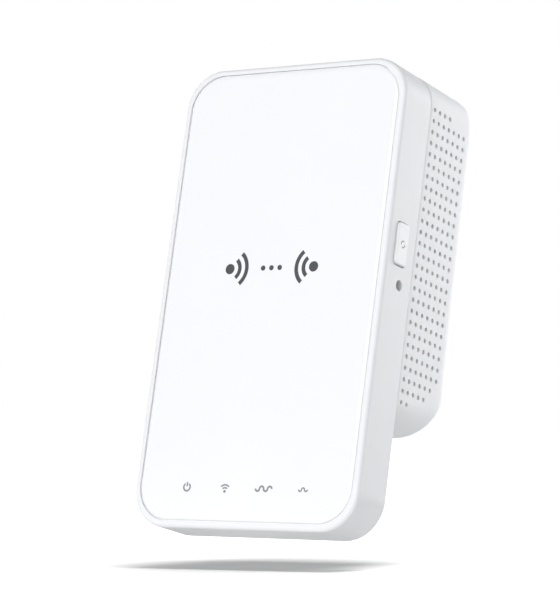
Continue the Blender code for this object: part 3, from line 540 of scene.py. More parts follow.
class Surface:
    """A Principled material and its texture coordinates, to which layers are added."""

    def __init__(self, name, base, roughness, metallic=0.0):
        self.material = bpy.data.materials.new(name)
        self.material.use_nodes = True
        self.material.diffuse_color = (*base, 1.0)
        self.nodes, self.links = self.material.node_tree.nodes, self.material.node_tree.links
        self.shader = self.nodes["Principled BSDF"]
        self.base, self.roughness = base, roughness
        self.shader.inputs["Base Color"].default_value = (*base, 1.0)
        self.shader.inputs["Roughness"].default_value = roughness
        self.shader.inputs["Metallic"].default_value = metallic
        self.place = self.nodes.new("ShaderNodeTexCoord").outputs["Object"]

    def group(self, tree, **values):
        node = self.nodes.new("ShaderNodeGroup")
        node.node_tree = tree
        self.links.new(self.place, node.inputs["Vector"])
        for name, value in values.items():
            node.inputs[name.replace("_", " ")].default_value = value
        return node

    def ranged(self, factor, low, high):
        node = self.nodes.new("ShaderNodeMapRange")
        node.inputs["To Min"].default_value = low
        node.inputs["To Max"].default_value = high
        self.links.new(factor, node.inputs["Value"])
        return node.outputs["Result"]

    def mixed(self, factor, low, high):
        """A colour between two, which may be colours or other nodes' outputs."""
        node = self.nodes.new("ShaderNodeMix")
        node.data_type = "RGBA"
        self.links.new(factor, node.inputs["Factor"])
        for index, value in ((FIRST_COLOUR, low), (SECOND_COLOUR, high)):
            socket = node.inputs[index]
            if isinstance(value, bpy.types.NodeSocket):
                self.links.new(value, socket)
            else:
                socket.default_value = (*value, 1.0)
        return node.outputs[MIXED_COLOUR]

    def tone(self, factor, spread):
        """Varies the base colour a little by a factor."""
        darker = tuple(c * (1 - spread) for c in self.base)
        lighter = tuple(min(1.0, c * (1 + spread)) for c in self.base)
        self.links.new(self.mixed(factor, darker, lighter), self.shader.inputs["Base Color"])

    def gloss(self, factor, spread):
        low, high = self.roughness - spread, self.roughness + spread
        self.links.new(self.ranged(factor, max(0.02, low), high), self.shader.inputs["Roughness"])

    def bump(self, height, depth):
        node = self.nodes.new("ShaderNodeBump")
        node.inputs["Distance"].default_value = depth
        node.inputs["Strength"].default_value = 1.0
        self.links.new(height, node.inputs["Height"])
        self.links.new(node.outputs["Normal"], self.shader.inputs["Normal"])

    def coat(self, weight, roughness):
        self.shader.inputs["Coat Weight"].default_value = weight
        self.shader.inputs["Coat Roughness"].default_value = roughness


def moulded(name, base, roughness, grain=4000.0, depth=0.004, spread=0.02):
    """Moulded plastic: grain gives the height of its texture in millimetres and its scale per metre."""
    surface = Surface(name, base, roughness)
    texture = surface.group(grain_group(), Grain_Scale=grain, Cloud_Scale=60.0)
    surface.tone(texture.outputs["Cloud"], spread)
    surface.gloss(texture.outputs["Cloud"], 0.04)
    surface.bump(texture.outputs["Height"], depth * MM)
    return surface


def polished(name, base, roughness, coat=0.6):
    """Glossy plastic or lacquer: almost no grain, under a clear skin."""
    surface = moulded(name, base, roughness, grain=900.0, depth=0.0006, spread=0.01)
    surface.coat(coat, 0.04)
    return surface


def drawn_metal(name, base, roughness, scale=2500.0):
    surface = Surface(name, base, roughness, metallic=1.0)
    texture = surface.group(brushed_group(), Line_Scale=scale)
    surface.tone(texture.outputs["Cloud"], 0.06)
    surface.gloss(texture.outputs["Height"], 0.1)
    surface.bump(texture.outputs["Height"], 0.003 * MM)
    return surface


def rubbery(name, base, roughness):
    return moulded(name, base, roughness, grain=1800.0, depth=0.008, spread=0.08)


def wound(name, base, roughness, pitch=1400.0):
    """Wire or tape laid in turns."""
    surface = Surface(name, base, roughness)
    turns = surface.nodes.new("ShaderNodeTexWave")
    turns.bands_direction = "Z"
    turns.inputs["Scale"].default_value = pitch
    turns.inputs["Distortion"].default_value = 0.6
    surface.links.new(surface.place, turns.inputs["Vector"])
    surface.tone(turns.outputs["Fac"], 0.25)
    surface.bump(turns.outputs["Fac"], 0.06 * MM)
    surface.gloss(turns.outputs["Fac"], 0.08)
    return surface


def circuit(name, base, roughness):
    """Solder mask over copper tracks, with tinned pads."""
    surface = Surface(name, base, roughness)
    turn = surface.nodes.new("ShaderNodeMapping")
    turn.inputs["Rotation"].default_value = (math.radians(90), 0, 0)
    surface.links.new(surface.place, turn.inputs["Vector"])
    tracks = surface.nodes.new("ShaderNodeTexBrick")
    tracks.inputs["Scale"].default_value = 120.0
    tracks.inputs["Mortar Size"].default_value = 0.03
    tracks.inputs["Color1"].default_value = (0, 0, 0, 1)
    tracks.inputs["Color2"].default_value = (0, 0, 0, 1)
    tracks.inputs["Mortar"].default_value = (1, 1, 1, 1)
    surface.links.new(turn.outputs["Vector"], tracks.inputs["Vector"])
    pads = surface.nodes.new("ShaderNodeTexVoronoi")
    pads.inputs["Scale"].default_value = 260.0
    surface.links.new(turn.outputs["Vector"], pads.inputs["Vector"])
    pad = surface.nodes.new("ShaderNodeMath")
    pad.operation = "LESS_THAN"
    pad.inputs[1].default_value = 0.16
    surface.links.new(pads.outputs["Distance"], pad.inputs[0])
    lighter = tuple(min(1.0, 1.9 * c + 0.01) for c in base)
    mask = surface.mixed(tracks.outputs["Color"], base, lighter)
    tinned = surface.mixed(pad.outputs["Value"], mask, (0.62, 0.62, 0.6))
    surface.links.new(tinned, surface.shader.inputs["Base Color"])
    surface.links.new(pad.outputs["Value"], surface.shader.inputs["Metallic"])
    surface.bump(tracks.outputs["Color"], 0.02 * MM)
    return surface


def clear_plastic(name, base, roughness):
    surface = moulded(name, base, roughness, grain=700.0, depth=0.0005, spread=0.01)
    surface.shader.inputs["Transmission Weight"].default_value = 0.85
    surface.shader.inputs["IOR"].default_value = 1.49
    return surface


FINISHES = {
    "panel_white": (polished, (0.88, 0.885, 0.9), 0.22),
    "housing_white": (moulded, (0.83, 0.835, 0.85), 0.42),
    # rear_white is lighter than housing_white: part of the lift is painted light, standing in for the
    # brighter light on the rear side
    "rear_white": (moulded, (0.86, 0.865, 0.88), 0.5),
    "button_white": (moulded, (0.93, 0.93, 0.94), 0.34),
    "label_silver": (moulded, (0.62, 0.63, 0.65), 0.4),
    "blade_nickel": (drawn_metal, (0.78, 0.75, 0.68), 0.26),
    "contact_brass": (drawn_metal, (0.75, 0.55, 0.25), 0.32),
    "carrier_black": (moulded, (0.018, 0.018, 0.02), 0.55),
    "board_green": (circuit, (0.012, 0.14, 0.05), 0.38),
    "chip_black": (moulded, (0.022, 0.022, 0.024), 0.5),
    "shield_steel": (drawn_metal, (0.7, 0.7, 0.69), 0.34),
    "spreader_aluminium": (drawn_metal, (0.78, 0.79, 0.8), 0.4),
    "pad_blue": (rubbery, (0.3, 0.42, 0.6), 0.8),
    "led_amber": (polished, (0.9, 0.86, 0.66), 0.2),
    "guide_clear": (clear_plastic, (0.9, 0.94, 0.97), 0.08),
    "shield_black": (moulded, (0.02, 0.02, 0.022), 0.7),
    "ferrite_grey": (rubbery, (0.045, 0.045, 0.05), 0.6),
    "winding_yellow": (wound, (0.75, 0.58, 0.08), 0.42),
    "can_sleeve": (polished, (0.04, 0.05, 0.09), 0.3),
    "choke_wound": (wound, (0.5, 0.2, 0.05), 0.32),
    "disc_blue": (polished, (0.03, 0.16, 0.5), 0.28),
    "fuse_brown": (moulded, (0.26, 0.12, 0.05), 0.45),
    "opto_white": (moulded, (0.78, 0.77, 0.72), 0.5),
    "sheet_amber": (polished, (0.68, 0.62, 0.46), 0.3),
    "lead_red": (rubbery, (0.5, 0.02, 0.015), 0.5),
    "lead_black": (rubbery, (0.02, 0.02, 0.022), 0.5),
    "coax_black": (rubbery, (0.06, 0.06, 0.065), 0.5),
    "coax_gold": (drawn_metal, (0.83, 0.63, 0.28), 0.28),
    "antenna_green": (circuit, (0.02, 0.12, 0.07), 0.42),
    "switch_black": (moulded, (0.02, 0.02, 0.022), 0.48),
    "plunger_grey": (moulded, (0.06, 0.06, 0.062), 0.45),
    "screw_steel": (drawn_metal, (0.7, 0.7, 0.7), 0.3),
}


def material_for(finish):
    """The material of a finish, made the first time it is asked for."""
    found = bpy.data.materials.get("finish_" + finish)
    if found:
        return found
    maker, base, roughness = FINISHES[finish]
    return maker("finish_" + finish, base, roughness).material


def ink_material(name, base):
    found = bpy.data.materials.get(name)
    return found or moulded(name, base, 0.5, grain=6000.0, depth=0.001, spread=0.03).material


# Operators, one for each piece or group of like pieces

class EXTENDER_OT_front_panel(bpy.types.Operator):
    """Builds the flat glossy front panel"""

    bl_idname = "extender.front_panel"
    bl_label = "Front Panel"

    def execute(self, context):
        shape = context.scene.extender_housing
        spread = Vector((shape.panel_step, 0, shape.panel_step))
        low = PANEL_LOW - spread + Vector((0, shape.groove_depth, 0))
        bm = prism(low, PANEL_HIGH + spread, shape.panel_radius + shape.panel_step, 16)
        front = [f for f in bm.faces if f.normal.y < -FACING]
        bmesh.ops.inset_region(bm, faces=front, thickness=shape.panel_step, use_even_offset=True)
        extrude(bm, front, (0, shape.slope_depth - shape.groove_depth, 0))
        bmesh.ops.delete(bm, geom=front, context="FACES_ONLY")
        bevel(bm, edges_at(bm, 1, PANEL_LOW.y + shape.slope_depth), shape.panel_edge, 3)
        face = max((f for f in bm.faces if f.normal.y < -FACING), key=lambda f: f.calc_area())
        bmesh.ops.inset_region(
            bm, faces=[face], thickness=shape.slope_width, depth=shape.slope_depth, use_even_offset=True
        )
        piece = finish_piece(new_object("front_panel_plate", bm), "panel_white", HOUSING_BODY, "front_panel")
        keep_flat(piece)
        return {"FINISHED"}


def screw_places(board):
    """Side and height of the screws of one board, from their own boxes."""
    places = []
    for index in range(1, SCREWS + 1):
        low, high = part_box(f"{board}_screw_{index}")
        centre = middle(low, high)
        places.append((centre.x, centre.z))
    return places


class EXTENDER_OT_front_housing(bpy.types.Operator):
    """Builds the upright front tray with its rim, groove, button opening and reset hole"""

    bl_idname = "extender.front_housing"
    bl_label = "Front Housing"

    def execute(self, context):
        shape = context.scene.extender_housing
        bm = prism(FRONT_LOW, FRONT_HIGH, shape.corner_radius, 16)
        bevel(bm, edges_at(bm, 1, FRONT_LOW.y), shape.rim_radius, 6)
        piece = new_object("front_housing_shell", bm)
        self.hollow(piece, shape)
        self.add_bosses(piece, shape)
        self.open_holes(piece, shape)
        finish_piece(piece, "housing_white", HOUSING_BODY, "front_housing")
        soften_cuts(piece, shape.cut_edge)
        return {"FINISHED"}

    def hollow(self, piece, shape):
        groove = Vector((shape.groove, 0, shape.groove))
        recess_low, recess_high = PANEL_LOW - groove, PANEL_HIGH + groove
        recess_low.y -= PAST
        recess_high.y += shape.groove
        combine(piece, "DIFFERENCE", prism(recess_low, recess_high, shape.panel_radius + shape.groove, 16))
        room_low = FRONT_LOW + Vector((shape.front_wall, 0, shape.front_wall))
        room_high = FRONT_HIGH - Vector((shape.front_wall, shape.back_wall, shape.front_wall))
        room_low.y = recess_high.y + shape.front_web
        combine(piece, "DIFFERENCE", prism(room_low, room_high, shape.corner_radius - shape.front_wall))
        opening_high = Vector((room_high.x - LEDGE, FRONT_HIGH.y + PAST, room_high.z - LEDGE))
        opening_low = Vector((-opening_high.x, room_high.y - PAST, -opening_high.z))
        radius = shape.side_radius - shape.rear_wall + shape.groove
        combine(piece, "DIFFERENCE", prism(opening_low, opening_high, radius))

    def add_bosses(self, piece, shape):
        board_low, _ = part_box("main_board")
        start = PANEL_HIGH.y + shape.groove + shape.front_web / 2
        bosses = rods(screw_places("main_board"), start, board_low.y - shape.groove, BOSS_RADIUS)
        combine(piece, "UNION", bosses)

    def open_holes(self, piece, shape):
        """Cuts the button's opening, the reset hole, the light holes and the screws' pilot holes."""
        combine(piece, "DIFFERENCE", self.button_opening(shape.groove))
        pin_low, pin_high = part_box("reset_switch_plunger")
        pin = middle(pin_low, pin_high)
        start, end = (pin_high.x - PAST, pin.y, pin.z), (FRONT_HIGH.x + PAST, pin.y, pin.z)
        hole = bmesh.new()
        add_rod(hole, start, end, RESET_RADIUS, 32)
        combine(piece, "DIFFERENCE", hole)
        lights = [middle(*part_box("led_" + light)) for light in LIGHTS]
        pipes = [(led.x, led.z) for led in lights]
        web_end = PANEL_HIGH.y + shape.groove + shape.front_web
        combine(piece, "DIFFERENCE", rods(pipes, PANEL_HIGH.y - PAST, web_end + PAST, LIGHT_HOLE_RADIUS))
        board_low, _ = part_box("main_board")
        start, end = board_low.y - PILOT_DEPTH, board_low.y + PAST
        combine(piece, "DIFFERENCE", rods(screw_places("main_board"), start, end, PILOT_RADIUS))

    def button_opening(self, gap):
        centre = button_middle()
        reach = Vector((0, CAP_DEPTH / 2 + gap, CAP_HEIGHT / 2 + gap))
        low, high = centre - reach, centre + reach
        low.x = FRONT_HIGH.x - CAP_OPENING_DEPTH
        high.x = FRONT_HIGH.x + PAST
        return prism(low, high, CAP_OPENING_CORNER, 6, axis=0)


def button_middle():
    """Middle of the cap's face; the cap's back edge is the box's back."""
    return Vector((BUTTON_HIGH.x, BUTTON_HIGH.y - CAP_DEPTH / 2, middle(BUTTON_LOW, BUTTON_HIGH).z))


class EXTENDER_OT_rear_housing(bpy.types.Operator):
    """Builds the rear shell with its swept lower back and the vent grid on both sides"""

    bl_idname = "extender.rear_housing"
    bl_label = "Rear Housing"

    def execute(self, context):
        shape, vents = context.scene.extender_housing, context.scene.extender_vents
        bm = self.outer_skin(shape)
        for side in SIDES:
            self.punch_vents(bm, side, vents)
        piece = new_object("rear_housing_shell", bm)
        thicken(piece, shape.rear_wall)
        self.round_rim(piece, shape)
        self.join_inner(piece, shape)
        self.open_holes(piece, shape)
        self.cut_lowest_vents(piece, vents)
        finish_piece(piece, "rear_white", HOUSING_BODY, "rear_housing")
        keep_flat(piece)
        return {"FINISHED"}

    def back_edge(self, bm, height):
        """The edge from side to side where the back ends at this height."""
        back = edges_at(bm, 1, REAR_HIGH.y)
        return [e for e in back if e in edges_at(bm, 2, height)]

    def outer_skin(self, shape):
        """The outside as an open surface: a rounded roof, a swept lower back, and cut off at the joint."""
        bm = bmesh.new()
        add_block(bm, (REAR_LOW.x, REAR_LOW.y - 2 * shape.side_radius, REAR_LOW.z), REAR_HIGH)
        bevel(bm, self.back_edge(bm, REAR_HIGH.z), shape.top_back_radius, 12)
        stretch = shape.belly_depth / shape.belly_height
        bmesh.ops.scale(bm, verts=bm.verts[:], vec=(1, 1, stretch))
        bevel(bm, self.back_edge(bm, REAR_LOW.z * stretch), shape.belly_depth, 24)
        bmesh.ops.scale(bm, verts=bm.verts[:], vec=(1, 1, 1 / stretch))
        bevel(bm, edges_at(bm, 0, REAR_LOW.x) + edges_at(bm, 0, REAR_HIGH.x), shape.side_radius, 10)
        bmesh.ops.bisect_plane(
            bm,
            geom=bm.verts[:] + bm.edges[:] + bm.faces[:],
            plane_co=(0, FRONT_HIGH.y + shape.groove, 0),
            plane_no=(0, 1, 0),
            clear_inner=True,
        )
        return bm

    def holes_in(self, row, vents):
        """How many holes a row has: a short top row, and the last rows follow the swept back."""
        from_end = row - (vents.rows - len(LAST_ROWS_HOLES))
        if row == 0:
            return TOP_ROW_HOLES
        return LAST_ROWS_HOLES[from_end] if from_end >= 0 else vents.columns

    def punch_vents(self, bm, side, vents):
        """Divides one flat side along the grid's lines, rounds the holes and takes them out."""
        plane_x = REAR_HIGH.x * side
        grid = bm.faces.layers.int.get("vent_grid") or bm.faces.layers.int.new("vent_grid")
        flat = [f for f in bm.faces if f.normal.x * side > FLAT]
        bmesh.ops.inset_region(bm, faces=flat, thickness=VENT_MARGIN, use_even_offset=True)
        for face in flat:
            face[grid] = side
        depths = [-vents.first + c * vents.column_pitch for c in range(vents.columns)]
        heights = [vents.top - r * vents.row_pitch for r in range(vents.rows)]
        for value in depths:
            self.divide(bm, grid, side, value, vents.hole, (0, 1, 0))
        for value in heights:
            self.divide(bm, grid, side, value, vents.hole, (0, 0, 1))
        centres = []
        for row, z in enumerate(heights):
            centres += [Vector((plane_x, y, z)) for y in depths[: self.holes_in(row, vents)]]
        corners = {v for f in self.faces_at(bm, grid, side, centres) for v in f.verts}
        bevel(bm, list(corners), VENT_ROUNDING * vents.hole, 1, "VERTICES")
        bmesh.ops.delete(bm, geom=self.faces_at(bm, grid, side, centres), context="FACES_ONLY")

    def divide(self, bm, grid, side, value, width, direction):
        """Cuts the side along both edges of a row or column of holes."""
        for edge in (value - width / 2, value + width / 2):
            faces = [f for f in bm.faces if f[grid] == side]
            edges = {e for f in faces for e in f.edges}
            verts = {v for f in faces for v in f.verts}
            bmesh.ops.bisect_plane(
                bm,
                geom=faces + list(edges) + list(verts),
                plane_co=Vector(direction) * edge,
                plane_no=direction,
            )

    def faces_at(self, bm, grid, side, centres):
        """The faces of the grid whose middle is a hole's middle."""
        keys = {(round(c.y, 5), round(c.z, 5)) for c in centres}
        found = []
        for face in bm.faces:
            centre = face.calc_center_median()
            if face[grid] == side and (round(centre.y, 5), round(centre.z, 5)) in keys:
                found.append(face)
        return found

    def round_rim(self, piece, shape):
        """Rounds the outer edge of the open front."""
        bm = bmesh.new()
        bm.from_mesh(piece.data)
        rim_y = min(v.co.y for v in bm.verts)
        centre = middle(REAR_LOW, REAR_HIGH)
        outer = []
        for edge in edges_at(bm, 1, rim_y):
            sides = [f for f in edge.link_faces if abs(f.normal.y) < 0.5]
            away = middle(edge.verts[0].co, edge.verts[1].co) - centre
            if len(sides) == 1 and sides[0].normal.dot(away) > 0:
                outer.append(edge)
        bevel(bm, outer, shape.joint_edge, 4)
        bm.to_mesh(piece.data)
        bm.free()

    def join_inner(self, piece, shape):
        """Adds the tongue that enters the front housing, and the bosses of the power board."""
        inset = shape.front_wall + 2 * shape.groove
        high = Vector((FRONT_HIGH.x - inset, REAR_LOW.y + TONGUE_DEPTH, FRONT_HIGH.z - inset))
        low = Vector((-high.x, REAR_LOW.y, -high.z))
        ring = prism(low, high, shape.side_radius - shape.rear_wall)
        caps = [f for f in ring.faces if abs(f.normal.y) > FACING]
        bmesh.ops.delete(ring, geom=caps, context="FACES_ONLY")
        helper = new_object("tongue", ring)
        thicken(helper, TONGUE_WALL)
        made = bmesh.new()
        made.from_mesh(helper.data)
        bpy.data.objects.remove(helper)
        combine(piece, "UNION", made)
        _, board_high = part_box("power_board")
        end = REAR_HIGH.y - shape.rear_wall / 2
        bosses = rods(screw_places("power_board"), board_high.y + shape.groove, end, BOSS_RADIUS)
        combine(piece, "UNION", bosses)

    def cut_lowest_vents(self, piece, vents):
        """The last row lies where the side begins to curve, so its holes are cut right through."""
        row = vents.rows - 1
        z = vents.top - row * vents.row_pitch
        for side in SIDES:
            cutter = bmesh.new()
            for column in range(self.holes_in(row, vents)):
                y = column * vents.column_pitch - vents.first
                at = Vector((side * REAR_HIGH.x, y, z))
                start, end = at - Vector((LOWEST_CUT_DEPTH, 0, 0)), at + Vector((PAST, 0, 0))
                add_rod(cutter, start, end, vents.hole / 2, 8)
            combine(piece, "DIFFERENCE", cutter)

    def open_holes(self, piece, shape):
        """Cuts the screws' pilot holes, the blades' slots and the label's recess."""
        _, board_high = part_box("power_board")
        start, end = board_high.y - PAST, board_high.y + PILOT_DEPTH
        combine(piece, "DIFFERENCE", rods(screw_places("power_board"), start, end, PILOT_RADIUS))
        slots = bmesh.new()
        for node, width in BLADES:
            low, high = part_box(node)
            centre = middle(low, high)
            half = Vector((high.x - centre.x + shape.groove, BLADE_SLOT_REACH, width / 2 + shape.groove))
            at = Vector((centre.x, REAR_HIGH.y - shape.rear_wall / 2, centre.z))
            add_block(slots, at - half, at + half)
        combine(piece, "DIFFERENCE", slots)
        margin = Vector((shape.groove, shape.groove, shape.groove))
        recess_high = LABEL_HIGH + margin + Vector((0, PAST, 0))
        combine(piece, "DIFFERENCE", prism(LABEL_LOW - margin, recess_high, LABEL_RECESS_CORNER, 6))


class EXTENDER_OT_pair_button(bpy.types.Operator):
    """Builds the pairing button: a rounded cap with a small printed ring and a flange behind the wall"""

    bl_idname = "extender.pair_button"
    bl_label = "Pair Button"

    def execute(self, context):
        marks = context.scene.extender_marks
        centre = button_middle()
        reach = Vector((0, CAP_DEPTH / 2, CAP_HEIGHT / 2))
        low = centre - reach
        low.x = BUTTON_LOW.x + CAP_START
        cap = prism(low, centre + reach, CAP_CORNER, 6, axis=0)
        bevel(cap, edges_at(cap, 0, BUTTON_HIGH.x), CAP_EDGE, 4)
        piece = new_object("pair_button_cap", cap)
        flange = bmesh.new()
        flange_high = (BUTTON_LOW.x + FLANGE_THICKNESS, BUTTON_LOW.y + CAP_DEPTH, BUTTON_HIGH.z)
        add_block(flange, BUTTON_LOW, flange_high)
        combine(piece, "UNION", flange)
        finish_piece(piece, "button_white", "pair_button", "pair_button")
        soften_cuts(piece, CAP_SOFTNESS)
        ring = bmesh.new()
        for start in RING_STARTS:
            add_band(ring, Vector((0, 0, 0)), RING_RADIUS, RING_WIDTH, start, RING_SWEEP, 16)
        raise_marks(ring, marks.thickness)
        turn = Matrix.Translation(centre) @ Matrix.Rotation(math.radians(90), 4, "Z")
        bmesh.ops.transform(ring, matrix=turn, verts=ring.verts[:])
        mark = new_object("pair_button_mark", ring)
        finish_mark(mark, "ink_icon", marks.pale_ink, "pair_button")
        return {"FINISHED"}


def finish_mark(mark, ink, base, body):
    mark.data.materials.append(ink_material(ink, base))
    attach(mark, body)


class EXTENDER_OT_marks(bpy.types.Operator):
    """Prints the relay pictogram and the four status icons on the panel"""

    bl_idname = "extender.marks"
    bl_label = "Panel Marks"

    def execute(self, context):
        marks = context.scene.extender_marks
        face = PANEL_LOW.y
        self.add("relay_pictogram", self.relay(marks, face), marks, "ink_relay", marks.ink)
        drawers = (self.power, self.signal, self.coarse_wave, self.fine_wave)
        for index, (light, draw) in enumerate(zip(LIGHTS, drawers)):
            centre = Vector((marks.icon_start + index * marks.icon_pitch, face, marks.icon_height))
            self.add("icon_" + light, draw(centre), marks, "ink_icon", marks.pale_ink)
        return {"FINISHED"}

    def add(self, name, bm, marks, ink, base):
        raise_marks(bm, marks.thickness)
        finish_mark(new_object(name, bm), ink, base, HOUSING_BODY)

    def relay(self, marks, face):
        """Two senders with arcs towards each other and dots between them."""
        bm = bmesh.new()
        half = marks.pictogram_width / 2
        for side, start in ((-1, -ARC_SWEEP / 2), (1, 180 - ARC_SWEEP / 2)):
            sender = Vector((side * (half - SENDER_RADIUS), face, marks.pictogram_height))
            add_dot(bm, sender, SENDER_RADIUS)
            for radius in ARC_RADII:
                add_band(bm, sender, radius, ARC_WIDTH, start, ARC_SWEEP, 28)
        for x in (-DOT_PITCH, 0.0, DOT_PITCH):
            add_dot(bm, Vector((x, face, marks.pictogram_height)), DOT_RADIUS)
        return bm

    def power(self, centre):
        """An open ring with an upright bar in its gap."""
        bm = bmesh.new()
        add_band(bm, centre, POWER_RADIUS, ICON_STROKE, POWER_START, POWER_SWEEP, 32)
        add_bar(bm, centre + Vector((0, 0, POWER_BAR_RISE)), ICON_STROKE, POWER_BAR)
        return bm

    def signal(self, centre):
        """A dot under two arcs."""
        bm = bmesh.new()
        low = centre - Vector((0, 0, SIGNAL_DROP))
        add_dot(bm, low, SIGNAL_DOT)
        for radius in SIGNAL_RADII:
            add_band(bm, low, radius, SIGNAL_STROKE, SIGNAL_START, SIGNAL_SWEEP, 20)
        return bm

    def wave(self, centre, radius, count, width):
        """Half rings side by side, in turn above and below the line."""
        bm = bmesh.new()
        for index in range(count):
            at = centre + Vector(((2 * index - count + 1) * radius, 0, 0))
            add_band(bm, at, radius, width, 0, 180 if index % 2 else -180, 16)
        bmesh.ops.remove_doubles(bm, verts=bm.verts[:], dist=MATCH)
        return bm

    def coarse_wave(self, centre):
        return self.wave(centre, *COARSE_WAVE)

    def fine_wave(self, centre):
        return self.wave(centre, *FINE_WAVE)


def add_bar(bm, centre, width, height):
    """A flat upright bar in the XZ plane."""
    place = Matrix.Translation(centre) @ Matrix.Rotation(math.radians(90), 4, "X")
    place = place @ Matrix.Diagonal((width / 2, height / 2, 1.0, 1.0))
    bmesh.ops.create_grid(bm, x_segments=1, y_segments=1, size=1.0, matrix=place)


class EXTENDER_OT_plug(bpy.types.Operator):
    """Builds the two plug blades with rounded edges, and the label below them"""

    bl_idname = "extender.plug"
    bl_label = "Plug and Label"

    def execute(self, context):
        for node, width in BLADES:
            self.blade(node, width)
        bm = prism(LABEL_LOW, LABEL_HIGH, LABEL_CORNER, 8)
        bevel(bm, edges_at(bm, 1, LABEL_HIGH.y), LABEL_EDGE, 2)
        finish_piece(new_object("rating_label_film", bm), "label_silver", HOUSING_BODY, "rating_label")
        return {"FINISHED"}

    def blade(self, node, width):
        """A bar with a bevelled tip and a hole, on its wider head."""
        low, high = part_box(node)
        head_end = low.y + BLADE_HEAD
        bm = bmesh.new()
        add_block(bm, (low.x, head_end - BLADE_OVERLAP, -width / 2), (high.x, high.y, width / 2))
        bevel(bm, [e for e in edges_along(bm, 0) if e in edges_at(bm, 1, high.y)], BLADE_TIP, 1)
        piece = new_object(node + "_metal", bm)
        head = bmesh.new()
        add_block(head, low, (high.x, head_end, high.z))
        combine(piece, "UNION", head)
        hole = bmesh.new()
        at = Vector((0, BLADE_HOLE_REACH, 0))
        start, end = at + Vector((low.x - PAST, 0, 0)), at + Vector((high.x + PAST, 0, 0))
        add_rod(hole, start, end, BLADE_HOLE_RADIUS, 32)
        combine(piece, "DIFFERENCE", hole)
        finish_piece(piece, "blade_nickel", HOUSING_BODY, node)
        soften_cuts(piece, BLADE_EDGE)


class EXTENDER_OT_inner_finishes(bpy.types.Operator):
    """Gives every other sub-part the material of its finish"""

    bl_idname = "extender.inner_finishes"
    bl_label = "Inner Finishes"

    def execute(self, context):
        for part in frame["record"]["subparts"]:
            node = frame["nodes"][part["node"]]
            node.data.materials.clear()
            node.data.materials.append(material_for(part["material_slot"]))
        return {"FINISHED"}


